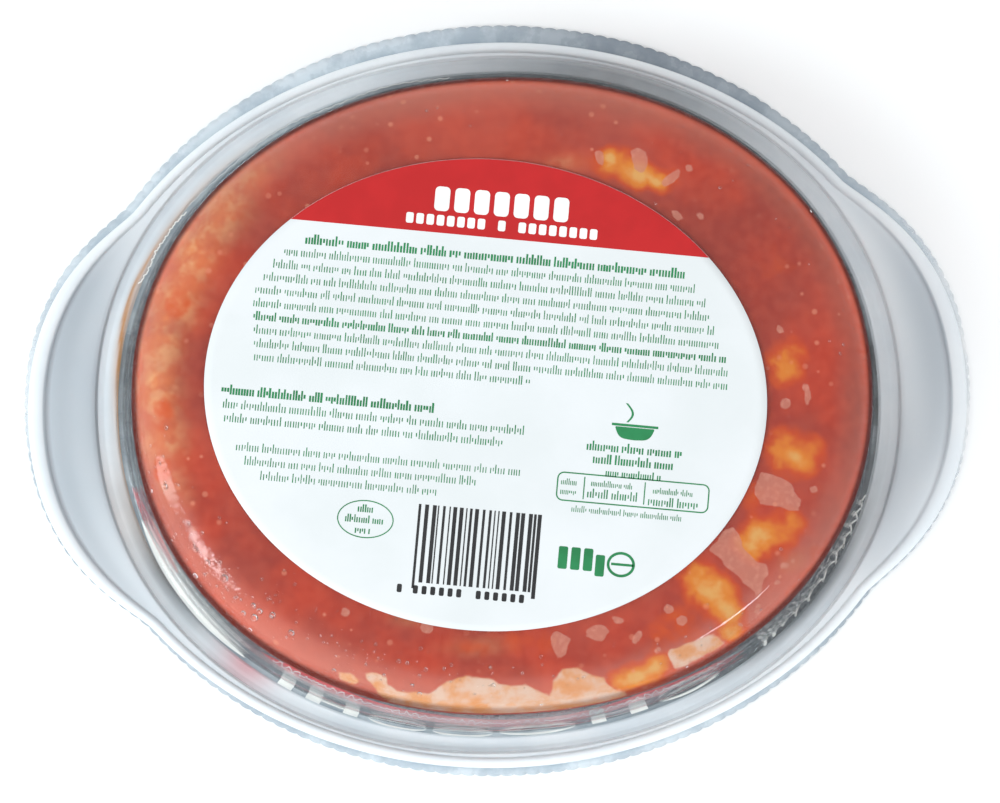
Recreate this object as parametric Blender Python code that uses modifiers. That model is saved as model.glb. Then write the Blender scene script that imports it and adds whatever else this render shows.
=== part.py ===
"""Sealed tray of potato gnocchi in tomato sauce, lying on its lidding film.

The clear tray stands upside down, so its base and the label on it face up (+Z).
X runs from ear to ear. Lengths are in metres.
"""

import math

import bmesh
import bpy

MM = 0.001

# How finely a closed curve around the tray is divided.
BEARINGS = 64

# Tray: a thermoformed sheet. Every oval is (half length, half width).
SHEET = 0.6 * MM
TRAY_HEIGHT = 32.0 * MM
BASE_OVAL = (76.7 * MM, 65.8 * MM)
BASE_ROUNDING = 9.0 * MM
MOUTH_OVAL = (80.8 * MM, 70.6 * MM)
MOUTH_ROUNDING = 1.0 * MM
SEAL_OVAL = (86.5 * MM, 75.0 * MM)
# Exponent of the base, mouth and seal ovals: 2 is an ellipse, and more is squarer.
BOWL_SQUARENESS = 2.1
RIM_OVAL = (93.7 * MM, 78.6 * MM)
RIM_WIDTH_AT_SIDES = 2.3 * MM
RIM_WIDTH_AT_EARS = 3.8 * MM
EAR_REACH = 7.8 * MM
EAR_HALF_ANGLE = math.radians(30.5)

# Heights of the flange's upper side; its underside at the ledge is one gap above the film.
LEDGE_RISE = 1.2 * MM
PANEL_RISE = 2.0 * MM
RIM_RISE = 3.1 * MM
LIP_RISE = 1.6 * MM
STEP_RUN = 0.7 * MM

# Lidding film: cut a little off register with pinking wheels.
FILM = 0.3 * MM
OVERHANG_AT_EARS = 0.5 * MM
OVERHANG_AT_SIDES = 2.5 * MM
FILM_SHIFT = (0.1 * MM, 1.1 * MM)
TOOTH_PITCH = 2.8 * MM
TOOTH_DEPTH = 0.8 * MM

# Oval paper label on the base.
LABEL = 0.2 * MM
LABEL_OVAL = (58.0 * MM, 48.7 * MM)
LABEL_PLACE = (-3.9 * MM, -0.7 * MM)
LABEL_TURN = math.radians(-7.9)

# Touching pieces keep this gap.
GAP = 0.3 * MM

# Food: gnocchi in two rings, bound by sauce that clings to the base.
SAUCE_DEPTH_AT_WALL = 8.5 * MM
SAUCE_DEPTH_IN_MIDDLE = 13.0 * MM
GNOCCO_HALF = (12.0 * MM, 8.4 * MM, 7.6 * MM)
GNOCCO_DEPTH = 9.8 * MM
OUTER_RING = {"count": 20, "share": 0.80, "first": math.radians(3.0)}
INNER_RING = {"count": 8, "share": 0.40, "first": math.radians(20.0)}


def oval_radius(oval, bearing, squareness=2.0):
    """Radius of a superellipse at a bearing: (|cos / a|^n + |sin / b|^n)^(-1/n)."""
    half_length, half_width = oval
    along = abs(math.cos(bearing) / half_length) ** squareness
    across = abs(math.sin(bearing) / half_width) ** squareness
    return (along + across) ** (-1.0 / squareness)


def bowl_oval_radius(oval, bearing):
    """Radius of the base, mouth or seal oval, which are a little squarer than ellipses."""
    return oval_radius(oval, bearing, BOWL_SQUARENESS)


def ear_share(bearing):
    """1 at an ear's tip and 0 beyond the ear: (1 - s^3)^1.5, s running from X to the half angle."""
    from_end = abs(math.remainder(bearing, math.pi))
    share = min(from_end / EAR_HALF_ANGLE, 1.0)
    return (1.0 - share**3) ** 1.5


def rim_radius(bearing):
    """Radius of the tray's outer edge: the rim oval plus the reach of the ears."""
    return oval_radius(RIM_OVAL, bearing) + EAR_REACH * ear_share(bearing)


def rim_width(bearing):
    """Width of the rounded bead along the outer edge, which is wider round the ears."""
    more = (RIM_WIDTH_AT_EARS - RIM_WIDTH_AT_SIDES) * ear_share(bearing)
    return RIM_WIDTH_AT_SIDES + more


def bowl_radius(height, bearing):
    """Radius of the drafted wall at a height: the base oval widening evenly to the mouth oval."""
    share = (TRAY_HEIGHT - height) / (TRAY_HEIGHT - LEDGE_RISE)
    base = bowl_oval_radius(BASE_OVAL, bearing)
    mouth = bowl_oval_radius(MOUTH_OVAL, bearing)
    return base + (mouth - base) * share


def closed_ring(radius_at, height):
    """Points of one section: the radius function sampled at every bearing."""
    bearings = [math.tau * i / BEARINGS for i in range(BEARINGS)]
    points = []
    for bearing in bearings:
        radius = radius_at(bearing)
        points.append((radius * math.cos(bearing), radius * math.sin(bearing), height))
    return points


def rounding_steps(steps, end_degrees):
    """(inset, drop) shares of a quarter round, from its flat side to near its steep side."""
    angles = [math.radians(end_degrees * i / steps) for i in range(steps + 1)]
    return [(1.0 - math.sin(angle), 1.0 - math.cos(angle)) for angle in angles]


def bowl_sections(inset, top):
    """Rings of the bowl's base and rounded corner, moved inwards by inset, from a top height."""
    sections = [closed_ring(lambda b: 0.5 * (bowl_oval_radius(BASE_OVAL, b) - BASE_ROUNDING), top)]
    corner = BASE_ROUNDING - inset
    for side, drop in rounding_steps(4, 80.0):
        height = top - corner * drop
        sections.append(
            closed_ring(lambda b, s=side, h=height: bowl_radius(h, b) - inset - corner * s, height)
        )
    return sections


def tray_sections():
    """Rings of the tray's upper side, from the middle of the base out to the lip."""
    sections = bowl_sections(0.0, TRAY_HEIGHT)
    low = LEDGE_RISE + MOUTH_ROUNDING
    for height in (0.5 * (TRAY_HEIGHT + low), low):
        sections.append(closed_ring(lambda b, h=height: bowl_radius(h, b), height))
    for out, rise in ((0.3, 0.3), (1.0, 0.0)):
        sections.append(
            closed_ring(
                lambda b, o=out: bowl_oval_radius(MOUTH_OVAL, b) + MOUTH_ROUNDING * o,
                LEDGE_RISE + MOUTH_ROUNDING * rise,
            )
        )
    sections.append(closed_ring(lambda b: bowl_oval_radius(SEAL_OVAL, b), LEDGE_RISE))
    sections.append(closed_ring(lambda b: bowl_oval_radius(SEAL_OVAL, b) + STEP_RUN, PANEL_RISE))
    crest = RIM_RISE - PANEL_RISE
    for inward, rise in ((1.0, 0.0), (0.75, 0.75), (0.4, 1.0), (0.1, 0.6)):
        sections.append(
            closed_ring(
                lambda b, i=inward: rim_radius(b) - rim_width(b) * i,
                PANEL_RISE + crest * rise,
            )
        )
    sections.append(closed_ring(rim_radius, LIP_RISE))
    return sections


def gnocchi():
    """(x, y, turn) of every gnocco: two rings of ovals inside the base, each lying radially."""
    places = []
    for ring in (OUTER_RING, INNER_RING):
        for i in range(ring["count"]):
            bearing = ring["first"] + math.tau * i / ring["count"]
            wobble = math.sin(2.4 * i + 1.0)
            radius = bowl_oval_radius(BASE_OVAL, bearing) * (ring["share"] + 0.02 * wobble)
            turn = bearing + math.radians(22.0) * wobble
            places.append((radius * math.cos(bearing), radius * math.sin(bearing), turn))
    return places


def food_depth(x, y, places):
    """Depth of the food below the base's inside: level sauce, or the gnocco that reaches deepest."""
    bearing = math.atan2(y, x)
    share = math.hypot(x, y) / bowl_oval_radius(BASE_OVAL, bearing)
    fall = (SAUCE_DEPTH_IN_MIDDLE - SAUCE_DEPTH_AT_WALL) * min(share, 1.0) ** 4
    depth = SAUCE_DEPTH_IN_MIDDLE - fall
    half_length, half_width, half_height = GNOCCO_HALF
    for place_x, place_y, turn in places:
        along = (x - place_x) * math.cos(turn) + (y - place_y) * math.sin(turn)
        across = (y - place_y) * math.cos(turn) - (x - place_x) * math.sin(turn)
        spread = (along / half_length) ** 2 + (across / half_width) ** 2
        if spread < 1.0:
            depth = max(depth, GNOCCO_DEPTH + half_height * math.sqrt(1.0 - spread))
    return depth


def food_sections():
    """Rings of the food: the moulded side against the base, then the lumpy free side."""
    top = TRAY_HEIGHT - SHEET - GAP
    inset = SHEET + GAP
    sections = bowl_sections(inset, top)
    edge_height = top - SAUCE_DEPTH_AT_WALL
    sections.append(closed_ring(lambda b: bowl_radius(edge_height, b) - inset, edge_height))
    places = gnocchi()
    free_rings = 13
    for i in range(1, free_rings):
        share = 1.0 - i / free_rings
        flat = closed_ring(lambda b, s=share: (bowl_radius(edge_height, b) - inset) * s, 0.0)
        sections.append([(x, y, top - food_depth(x, y, places)) for x, y, _ in flat])
    return sections


def loft(name, sections, first_pole, last_pole=None):
    """A mesh object skinned over the rings, closed by a fan at its first and, if given, last pole."""
    shape = bmesh.new()
    rings = [[shape.verts.new(point) for point in section] for section in sections]
    for inner, outer in zip(rings, rings[1:]):
        for i in range(BEARINGS):
            j = (i + 1) % BEARINGS
            shape.faces.new((inner[i], outer[i], outer[j], inner[j]))
    first = shape.verts.new(first_pole)
    for i in range(BEARINGS):
        shape.faces.new((first, rings[0][i], rings[0][(i + 1) % BEARINGS]))
    if last_pole is not None:
        last = shape.verts.new(last_pole)
        for i in range(BEARINGS):
            shape.faces.new((last, rings[-1][(i + 1) % BEARINGS], rings[-1][i]))
    mesh = bpy.data.meshes.new(name)
    shape.to_mesh(mesh)
    shape.free()
    mesh.shade_smooth()
    mesh.set_sharp_from_angle(angle=math.radians(40.0))
    return bpy.data.objects.new(name, mesh)


def flat_sheet(name, points, thickness):
    """A thin flat piece with the given outline, standing on z = 0."""
    curve = bpy.data.curves.new(name, "CURVE")
    curve.dimensions = "2D"
    curve.fill_mode = "BOTH"
    curve.extrude = thickness / 2.0
    line = curve.splines.new("POLY")
    line.points.add(len(points) - 1)
    for point, (x, y) in zip(line.points, points):
        point.co = (x, y, 0.0, 1.0)
    line.use_cyclic_u = True
    sheet = bpy.data.objects.new(name, curve)
    sheet.location.z = thickness / 2.0
    return sheet


def film_radius(bearing):
    """Radius of the film's cut: the rim's outline plus an overhang that is widest at the sides."""
    more_at_sides = (OVERHANG_AT_SIDES - OVERHANG_AT_EARS) * math.sin(bearing) ** 2
    return rim_radius(bearing) + OVERHANG_AT_EARS + more_at_sides


def film_outline():
    """Points of the film's edge: the cut walked in half teeth of even length, in and out."""
    steps = 3600
    walk = [0.0]
    for i in range(steps):
        radius = film_radius(math.tau * i / steps)
        after = film_radius(math.tau * (i + 1) / steps)
        walk.append(walk[-1] + math.hypot(after - radius, radius * math.tau / steps))
    corners = 2 * round(walk[-1] / TOOTH_PITCH)
    points = []
    step = 0
    for i in range(corners):
        while walk[step + 1] < walk[-1] * i / corners:
            step += 1
        bearing = math.tau * step / steps
        tooth = TOOTH_DEPTH * (0.5 if i % 2 else -0.5)
        radius = film_radius(bearing) + tooth
        points.append((radius * math.cos(bearing), radius * math.sin(bearing)))
    return points


def label_outline():
    """Points of the label's oval."""
    half_length, half_width = LABEL_OVAL
    angles = [math.tau * i / BEARINGS for i in range(BEARINGS)]
    return [(half_length * math.cos(a), half_width * math.sin(a)) for a in angles]


def finish(name, colour, roughness, transmission=0.0):
    """A plain Principled material."""
    material = bpy.data.materials.new(name)
    material.use_nodes = True
    shader = material.node_tree.nodes["Principled BSDF"]
    shader.inputs["Base Color"].default_value = (*colour, 1.0)
    shader.inputs["Roughness"].default_value = roughness
    shader.inputs["Metallic"].default_value = 0.0
    shader.inputs["Transmission Weight"].default_value = transmission
    return material


def make_tray(base_height):
    """The clear tray: one open sheet over all sections, thickened towards the food."""
    tray = loft("tray", tray_sections(), (0.0, 0.0, TRAY_HEIGHT))
    wall = tray.modifiers.new("sheet", "SOLIDIFY")
    wall.thickness = SHEET
    wall.offset = -1.0
    wall.use_even_offset = True
    tray.location.z = base_height
    tray.data.materials.append(finish("clear_plastic", (0.82, 0.86, 0.88), 0.12, 0.8))
    return tray


def make_food(base_height):
    """The food as one solid out to its uneven outline."""
    top = TRAY_HEIGHT - SHEET - GAP
    deepest = top - food_depth(0.0, 0.0, gnocchi())
    food = loft("gnocchi_in_sauce", food_sections(), (0.0, 0.0, top), (0.0, 0.0, deepest))
    food.location.z = base_height
    food.data.materials.append(finish("tomato_sauce", (0.60, 0.13, 0.06), 0.30))
    return food


def make_film():
    """The lidding film that closes the mouth."""
    film = flat_sheet("lidding_film", film_outline(), FILM)
    film.location.x, film.location.y = FILM_SHIFT
    film.data.materials.append(finish("film", (0.72, 0.78, 0.82), 0.15, 0.5))
    return film


def make_label(base_height):
    """The oval label stuck on the base, slightly askew."""
    label = flat_sheet("base_label", label_outline(), LABEL)
    label.location.x, label.location.y = LABEL_PLACE
    label.location.z += base_height + TRAY_HEIGHT + GAP
    label.rotation_euler.z = LABEL_TURN
    label.data.materials.append(finish("label_paper", (0.90, 0.90, 0.91), 0.45))
    return label


def build():
    """Clears the scene and adds the four pieces, centred on the film that they stand on."""
    for item in list(bpy.data.objects):
        bpy.data.objects.remove(item)
    collection = bpy.data.collections.new("sealed_gnocchi_tray")
    bpy.context.scene.collection.children.link(collection)
    flange_height = FILM + GAP - (LEDGE_RISE - SHEET)
    pieces = [
        make_film(),
        make_tray(flange_height),
        make_food(flange_height),
        make_label(flange_height),
    ]
    for piece in pieces:
        piece.location.x -= FILM_SHIFT[0]
        piece.location.y -= FILM_SHIFT[1]
        collection.objects.link(piece)


build()
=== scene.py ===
# %% [markdown]
# # Potato gnocchi in a sealed tray
#
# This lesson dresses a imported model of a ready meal: a clear oval tray of potato gnocchi in tomato sauce, lying on its
# lidding film with the base up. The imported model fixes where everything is; here each piece gets its fine shape and
# its finish. We read the model first and keep its box, so that nothing grows out of it.

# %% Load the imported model
import math

import bpy
import numpy as np
from mathutils import Matrix, Vector


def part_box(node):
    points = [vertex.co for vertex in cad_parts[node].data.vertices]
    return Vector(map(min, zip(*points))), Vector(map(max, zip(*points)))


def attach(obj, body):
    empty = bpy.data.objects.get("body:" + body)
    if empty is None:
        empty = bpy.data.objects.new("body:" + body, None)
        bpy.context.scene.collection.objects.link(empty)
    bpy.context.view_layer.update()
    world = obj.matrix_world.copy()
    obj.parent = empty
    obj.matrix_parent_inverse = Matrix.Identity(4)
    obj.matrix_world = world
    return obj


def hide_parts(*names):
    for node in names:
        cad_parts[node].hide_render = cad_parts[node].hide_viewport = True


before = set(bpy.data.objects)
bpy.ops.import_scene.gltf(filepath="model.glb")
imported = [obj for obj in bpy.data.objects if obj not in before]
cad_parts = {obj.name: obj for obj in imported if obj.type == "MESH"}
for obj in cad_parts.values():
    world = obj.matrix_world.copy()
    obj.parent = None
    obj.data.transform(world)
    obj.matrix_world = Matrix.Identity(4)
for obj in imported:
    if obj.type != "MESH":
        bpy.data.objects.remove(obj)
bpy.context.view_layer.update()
MM = 0.001
tray_low, tray_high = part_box("tray")
CENTRE = np.array([(tray_low.x + tray_high.x) / 2, (tray_low.y + tray_high.y) / 2, 0.0])
TOP = tray_high.z
print("tray centre in mm:", CENTRE / MM, "top:", TOP / MM)

# %% [markdown]
# ## Ovals and grids
#
# Almost every outline of this pack is an oval, so a point is best named by its bearing around the tray. Most pieces
# are then a stack of closed rings, which a grid of points holds: one row for each ring, one column for each bearing.
# The same small helper turns any such grid into a mesh and closes its poles.

# %% Ovals
BOWL_SQUARENESS = 2.1


def oval_radius(oval, bearing, squareness=2.0):
    """Radius of a superellipse at each bearing: (|cos / a|^n + |sin / b|^n)^(-1/n); n = 2 is an ellipse."""
    half_length, half_width = oval
    along = np.abs(np.cos(bearing) / half_length) ** squareness
    across = np.abs(np.sin(bearing) / half_width) ** squareness
    return (along + across) ** (-1.0 / squareness)


def bowl_oval_radius(oval, bearing):
    """Radius of the base, mouth or seal oval, which are a little squarer than ellipses."""
    return oval_radius(oval, bearing, BOWL_SQUARENESS)


def smooth(share):
    """Eases 0..1: 3t^2 - 2t^3, with the share cut off at both ends."""
    share = np.clip(share, 0.0, 1.0)
    return share * share * (3.0 - 2.0 * share)


def bearing_bump(bearing, middle, spread):
    """A soft bump round one bearing, middle and spread in degrees: exp(-(distance / spread)^2)."""
    distance = (np.degrees(bearing) - middle + 180.0) % 360.0 - 180.0
    return np.exp(-((distance / spread) ** 2))


def bearings(count):
    """Evenly spaced bearings round the tray."""
    return np.arange(count) * (math.tau / count)


def ring_points(radius, height, bearing):
    """Points of rings: (r cos, r sin, z) about the tray's centre; radius and height are rings by bearings."""
    radius, height = np.broadcast_arrays(radius, height)
    flat = np.stack([radius * np.cos(bearing), radius * np.sin(bearing), height], axis=-1)
    return flat + CENTRE


# %% Meshes from grids
def make_mesh(name, points, faces, material_slots=None, face_slots=None, smooth_faces=True):
    """A mesh object from arrays of points and of faces with equal corner counts."""
    mesh = bpy.data.meshes.new(name)
    corners = faces.shape[1]
    mesh.vertices.add(len(points))
    mesh.vertices.foreach_set("co", np.asarray(points, np.float32).ravel())
    mesh.loops.add(faces.size)
    mesh.loops.foreach_set("vertex_index", np.asarray(faces, np.int32).ravel())
    mesh.polygons.add(len(faces))
    mesh.polygons.foreach_set("loop_start", np.arange(0, faces.size, corners, dtype=np.int32))
    mesh.polygons.foreach_set("use_smooth", np.full(len(faces), smooth_faces))
    for material in material_slots or []:
        mesh.materials.append(material)
    if face_slots is not None:
        mesh.polygons.foreach_set("material_index", np.asarray(face_slots, np.int32))
    mesh.update()
    mesh.validate()
    piece = bpy.data.objects.new(name, mesh)
    bpy.context.scene.collection.objects.link(piece)
    return piece


def grid_faces(rings, columns):
    """Quads between neighbouring rings, the last column joined to the first, facing out for rings walked outwards."""
    i, j = np.meshgrid(np.arange(rings - 1), np.arange(columns), indexing="ij")
    k = (j + 1) % columns
    quads = np.stack([i * columns + j, (i + 1) * columns + j, (i + 1) * columns + k, i * columns + k], axis=-1)
    return quads.reshape(-1, 4)


def closed_grid(name, grid, material_slots=None, ring_slots=None):
    """A closed skin over a grid of rings: quads between rings, and a pole point that closes each end.

    A pole's triangles are quads whose last two corners would meet, so each is written as one triangle."""
    rings, columns, _ = grid.shape
    first = grid[0].mean(axis=0)
    last = grid[-1].mean(axis=0)
    points = np.concatenate([grid.reshape(-1, 3), [first, last]])
    quads = grid_faces(rings, columns)
    triangles = np.concatenate([quads[:, [0, 1, 2]], quads[:, [0, 2, 3]]])
    j = np.arange(columns)
    k = (j + 1) % columns
    start = np.stack([np.full(columns, rings * columns), j, k], axis=-1)
    end = np.stack([np.full(columns, rings * columns + 1), (rings - 1) * columns + k, (rings - 1) * columns + j], axis=-1)
    slots = None
    if ring_slots is not None:
        per_quad = np.repeat(np.asarray(ring_slots)[:-1], columns)
        slots = np.concatenate([per_quad, per_quad, np.full(columns, ring_slots[0]), np.full(columns, ring_slots[-1])])
    return make_mesh(name, points, np.concatenate([triangles, start, end]), material_slots, slots)


def grid_normals(grid):
    """Unit normals of a ring grid: the cross product of its slopes along the rings and across them."""
    along = np.roll(grid, -1, axis=1) - np.roll(grid, 1, axis=1)
    across = np.gradient(grid, axis=0)
    normal = np.cross(across, along)
    return normal / np.linalg.norm(normal, axis=-1, keepdims=True)


def scatter(template_points, template_faces, places, sizes, turns=None):
    """Copies of one small shape: each copy is the template scaled by its size, turned and moved to its place."""
    scaled = template_points[None, :, :] * sizes[:, None, :]
    if turns is not None:
        scaled = np.einsum("nij,nkj->nki", turns, scaled)
    points = (scaled + places[:, None, :]).reshape(-1, 3)
    offsets = np.arange(len(places)) * len(template_points)
    faces = (template_faces[None, :, :] + offsets[:, None, None]).reshape(-1, template_faces.shape[1])
    return points, faces


def add_field(piece, name, values):
    """Stores one number for each point, which a material reads as an attribute."""
    attribute = piece.data.attributes.new(name, "FLOAT", "POINT")
    attribute.data.foreach_set("value", np.asarray(values, np.float32).ravel())


# %% [markdown]
# ## Waves instead of chance
#
# Food and crumpled film are uneven. A sum of a few sine waves in odd directions gives an unevenness that looks
# random, is smooth at any scale that we choose, and comes out the same each time.

# %% Soft unevenness
def ripple(points, size, seed, octaves=3):
    """Smooth noise in about -1..1: sines of random direction and phase, halved in length and strength each octave."""
    rng = np.random.default_rng(seed)
    total = np.zeros(points.shape[:-1])
    weight = 1.0
    for octave in range(octaves):
        for _ in range(4):
            direction = rng.normal(size=points.shape[-1])
            direction *= math.tau / (size * 0.5**octave) / np.linalg.norm(direction)
            total += weight * np.sin(points @ direction + rng.uniform(0, math.tau)) / 2.4
        weight *= 0.5
    return total


# %% [markdown]
# ## Finishes
#
# Each finish is a Principled BSDF with its detail in nodes. Two effects serve several of them, so they are node
# groups: fine grain for bump, and cloudy variation of a colour.

# %% Node helpers
def new_material(name):
    """A material with a Principled BSDF; returns the material, its nodes, its links and the shader."""
    material = bpy.data.materials.new(name)
    material.use_nodes = True
    nodes = material.node_tree.nodes
    return material, nodes, material.node_tree.links, nodes["Principled BSDF"]


def set_values(shader, **values):
    """Sets sockets by name, with underscores for spaces."""
    for key, value in values.items():
        shader.inputs[key.replace("_", " ")].default_value = value


def new_group(name, inputs, outputs):
    """A shader node group with sockets given as (name, kind) or (name, kind, default)."""
    group = bpy.data.node_groups.new(name, "ShaderNodeTree")
    for label, kind, *default in inputs:
        socket = group.interface.new_socket(label, in_out="INPUT", socket_type=kind)
        if default:
            socket.default_value = default[0]
    for label, kind in outputs:
        group.interface.new_socket(label, in_out="OUTPUT", socket_type=kind)
    return group, group.nodes.new("NodeGroupInput"), group.nodes.new("NodeGroupOutput")


def place_group(nodes, group, **values):
    """Puts a group into a material with its own values."""
    node = nodes.new("ShaderNodeGroup")
    node.node_tree = group
    for key, value in values.items():
        node.inputs[key.replace("_", " ")].default_value = value
    return node


def noise_node(tree, links, size, detail, vector=None, roughness=0.55):
    """A noise texture whose features are about one size across, on Object coordinates."""
    node = tree.new("ShaderNodeTexNoise")
    node.inputs["Scale"].default_value = 1.0 / size
    node.inputs["Detail"].default_value = detail
    node.inputs["Roughness"].default_value = roughness
    if vector is None:
        vector = tree.new("ShaderNodeTexCoord").outputs["Object"]
    links.new(vector, node.inputs["Vector"])
    return node


def mix_colour(tree, links, factor, first, second, blend="MIX"):
    """A colour mix; each of factor, first and second is a socket or a plain value."""
    node = tree.new("ShaderNodeMix")
    node.data_type = "RGBA"
    node.blend_type = blend
    for socket, value in ((node.inputs[0], factor), (node.inputs[6], first), (node.inputs[7], second)):
        if isinstance(value, bpy.types.NodeSocket):
            links.new(value, socket)
        elif isinstance(value, (int, float)):
            socket.default_value = value
        else:
            socket.default_value = (*value, 1.0)
    return node.outputs[2]


def ramp(tree, links, value, low, high, out_low=0.0, out_high=1.0):
    """Maps low..high of a value to out_low..out_high with eased ends."""
    node = tree.new("ShaderNodeMapRange")
    node.interpolation_type = "SMOOTHSTEP"
    node.inputs["From Min"].default_value = low
    node.inputs["From Max"].default_value = high
    node.inputs["To Min"].default_value = out_low
    node.inputs["To Max"].default_value = out_high
    links.new(value, node.inputs["Value"])
    return node.outputs["Result"]


def maths(tree, links, operation, first, second):
    """One Math node on sockets or plain numbers."""
    node = tree.new("ShaderNodeMath")
    node.operation = operation
    for socket, value in zip(node.inputs, (first, second)):
        if isinstance(value, bpy.types.NodeSocket):
            links.new(value, socket)
        else:
            socket.default_value = value
    return node.outputs[0]


# %% Shared effects
cloud_group, cloud_in, cloud_out = new_group(
    "cloudy_colour",
    [
        ("Light", "NodeSocketColor"),
        ("Dark", "NodeSocketColor"),
        ("Scale", "NodeSocketFloat", 100.0),
        ("Low", "NodeSocketFloat", 0.35),
        ("High", "NodeSocketFloat", 0.65),
    ],
    [("Colour", "NodeSocketColor"), ("Mask", "NodeSocketFloat")],
)
cloud_nodes, cloud_links = cloud_group.nodes, cloud_group.links
cloud_noise = noise_node(cloud_nodes, cloud_links, 1.0, 5.0)
cloud_links.new(cloud_in.outputs["Scale"], cloud_noise.inputs["Scale"])
cloud_range = cloud_nodes.new("ShaderNodeMapRange")
cloud_range.interpolation_type = "SMOOTHSTEP"
cloud_links.new(cloud_noise.outputs["Fac"], cloud_range.inputs["Value"])
cloud_links.new(cloud_in.outputs["Low"], cloud_range.inputs["From Min"])
cloud_links.new(cloud_in.outputs["High"], cloud_range.inputs["From Max"])
cloud_mix = cloud_nodes.new("ShaderNodeMix")
cloud_mix.data_type = "RGBA"
cloud_links.new(cloud_range.outputs["Result"], cloud_mix.inputs[0])
cloud_links.new(cloud_in.outputs["Dark"], cloud_mix.inputs[6])
cloud_links.new(cloud_in.outputs["Light"], cloud_mix.inputs[7])
cloud_links.new(cloud_mix.outputs[2], cloud_out.inputs["Colour"])
cloud_links.new(cloud_range.outputs["Result"], cloud_out.inputs["Mask"])

grain_group, grain_in, grain_out = new_group(
    "fine_grain",
    [("Scale", "NodeSocketFloat", 2000.0), ("Strength", "NodeSocketFloat", 0.2), ("Depth", "NodeSocketFloat", 0.0001)],
    [("Normal", "NodeSocketVector"), ("Mask", "NodeSocketFloat")],
)
grain_nodes, grain_links = grain_group.nodes, grain_group.links
grain_noise = noise_node(grain_nodes, grain_links, 1.0, 3.0)
grain_links.new(grain_in.outputs["Scale"], grain_noise.inputs["Scale"])
grain_bump = grain_nodes.new("ShaderNodeBump")
grain_links.new(grain_noise.outputs["Fac"], grain_bump.inputs["Height"])
grain_links.new(grain_in.outputs["Strength"], grain_bump.inputs["Strength"])
grain_links.new(grain_in.outputs["Depth"], grain_bump.inputs["Distance"])
grain_links.new(grain_bump.outputs["Normal"], grain_out.inputs["Normal"])
grain_links.new(grain_noise.outputs["Fac"], grain_out.inputs["Mask"])
print("shared effects:", [group.name for group in bpy.data.node_groups])

# %% [markdown]
# ### Clear plastic that lets lamps through
#
# Polypropylene bends light a little (IOR 1.49) and is clear where it was stretched thin. A path tracer has trouble
# sending lamp light through such a wall onto the food, so rays that look for a lamp are let through by a Transparent
# shader, and every other ray meets the real one.

# %% Plastic finishes
def paint(red, green, blue):
    """A colour given as seen on a screen (0..255), turned into the linear values that shaders use."""
    value = np.array([red, green, blue]) / 255.0
    return tuple(np.where(value <= 0.04045, value / 12.92, ((value + 0.055) / 1.055) ** 2.4).tolist())


def let_lamps_through(material, tint):
    """Mixes in a Transparent shader of the given tint for shadow rays alone."""
    nodes, links = material.node_tree.nodes, material.node_tree.links
    path = nodes.new("ShaderNodeLightPath")
    clear = nodes.new("ShaderNodeBsdfTransparent")
    clear.inputs["Color"].default_value = (*tint, 1.0)
    mixer = nodes.new("ShaderNodeMixShader")
    links.new(path.outputs["Is Shadow Ray"], mixer.inputs["Fac"])
    links.new(nodes["Principled BSDF"].outputs["BSDF"], mixer.inputs[1])
    links.new(clear.outputs["BSDF"], mixer.inputs[2])
    links.new(mixer.outputs["Shader"], nodes["Material Output"].inputs["Surface"])


def field_node(nodes, name):
    """The factor output of an attribute stored at a piece's points."""
    node = nodes.new("ShaderNodeAttribute")
    node.attribute_name = name
    return node.outputs["Fac"]


def clear_plastic():
    """The clear base and wall, with faint smears in its gloss; the stretched wall has the least plastic.

    Where the food has sweated, a mist of fine droplets roughens it."""
    material, nodes, links, shader = new_material("clear_plastic")
    set_values(shader, Base_Color=(0.97, 0.98, 0.98, 1.0), Transmission_Weight=1.0, IOR=1.49, Metallic=0.0)
    smears = noise_node(nodes, links, 14 * MM, 4.0)
    gloss = ramp(nodes, links, smears.outputs["Fac"], 0.35, 0.75, 0.0, 0.018)
    mist = field_node(nodes, "mist")
    links.new(maths(nodes, links, "ADD", gloss, maths(nodes, links, "MULTIPLY", mist, 0.03)), shader.inputs["Roughness"])
    links.new(field_node(nodes, "body"), shader.inputs["Alpha"])
    droplets = noise_node(nodes, links, 0.9 * MM, 2.0)
    bump = nodes.new("ShaderNodeBump")
    bump.inputs["Distance"].default_value = 0.16 * MM
    links.new(maths(nodes, links, "MULTIPLY", mist, 0.8), bump.inputs["Strength"])
    links.new(droplets.outputs["Fac"], bump.inputs["Height"])
    links.new(bump.outputs["Normal"], shader.inputs["Normal"])
    let_lamps_through(material, (0.96, 0.97, 0.97))
    return material


def ledge_plastic():
    """The seal ledge: clouded by the heat seal, with painted shade at some bearings and painted refraction of the
    sauce.
    """
    material, nodes, links, shader = new_material("ledge_plastic")
    set_values(shader, Transmission_Weight=0.30, IOR=1.49, Metallic=0.0)
    haze = place_group(
        nodes, cloud_group, Light=(0.90, 0.935, 0.965, 1.0), Dark=(0.80, 0.855, 0.90, 1.0), Scale=1 / (20 * MM)
    )
    streaks = noise_node(nodes, links, 7 * MM, 3.0)
    # Painted shade: a field darkens the ledge to grey-black at some bearings, broken up by streaks.
    ledge_shade = maths(
        nodes, links, "MULTIPLY", field_node(nodes, "ledge_shade"),
        ramp(nodes, links, streaks.outputs["Fac"], 0.3, 0.7, 0.88, 1.0),
    )
    colour = mix_colour(nodes, links, ledge_shade, haze.outputs["Colour"], (0.10, 0.12, 0.135))
    # Painted refraction: the sauce seen bent through the plastic, an orange-brown line and glow along the mouth on the
    # left.
    colour = mix_colour(nodes, links, field_node(nodes, "sauce_refraction"), colour, paint(206, 150, 96))
    colour = mix_colour(nodes, links, field_node(nodes, "blush"), colour, paint(214, 96, 108))
    links.new(colour, shader.inputs["Base Color"])
    links.new(ramp(nodes, links, haze.outputs["Mask"], 0.0, 1.0, 0.14, 0.26), shader.inputs["Roughness"])
    let_lamps_through(material, (0.85, 0.87, 0.88))
    return material


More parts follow.
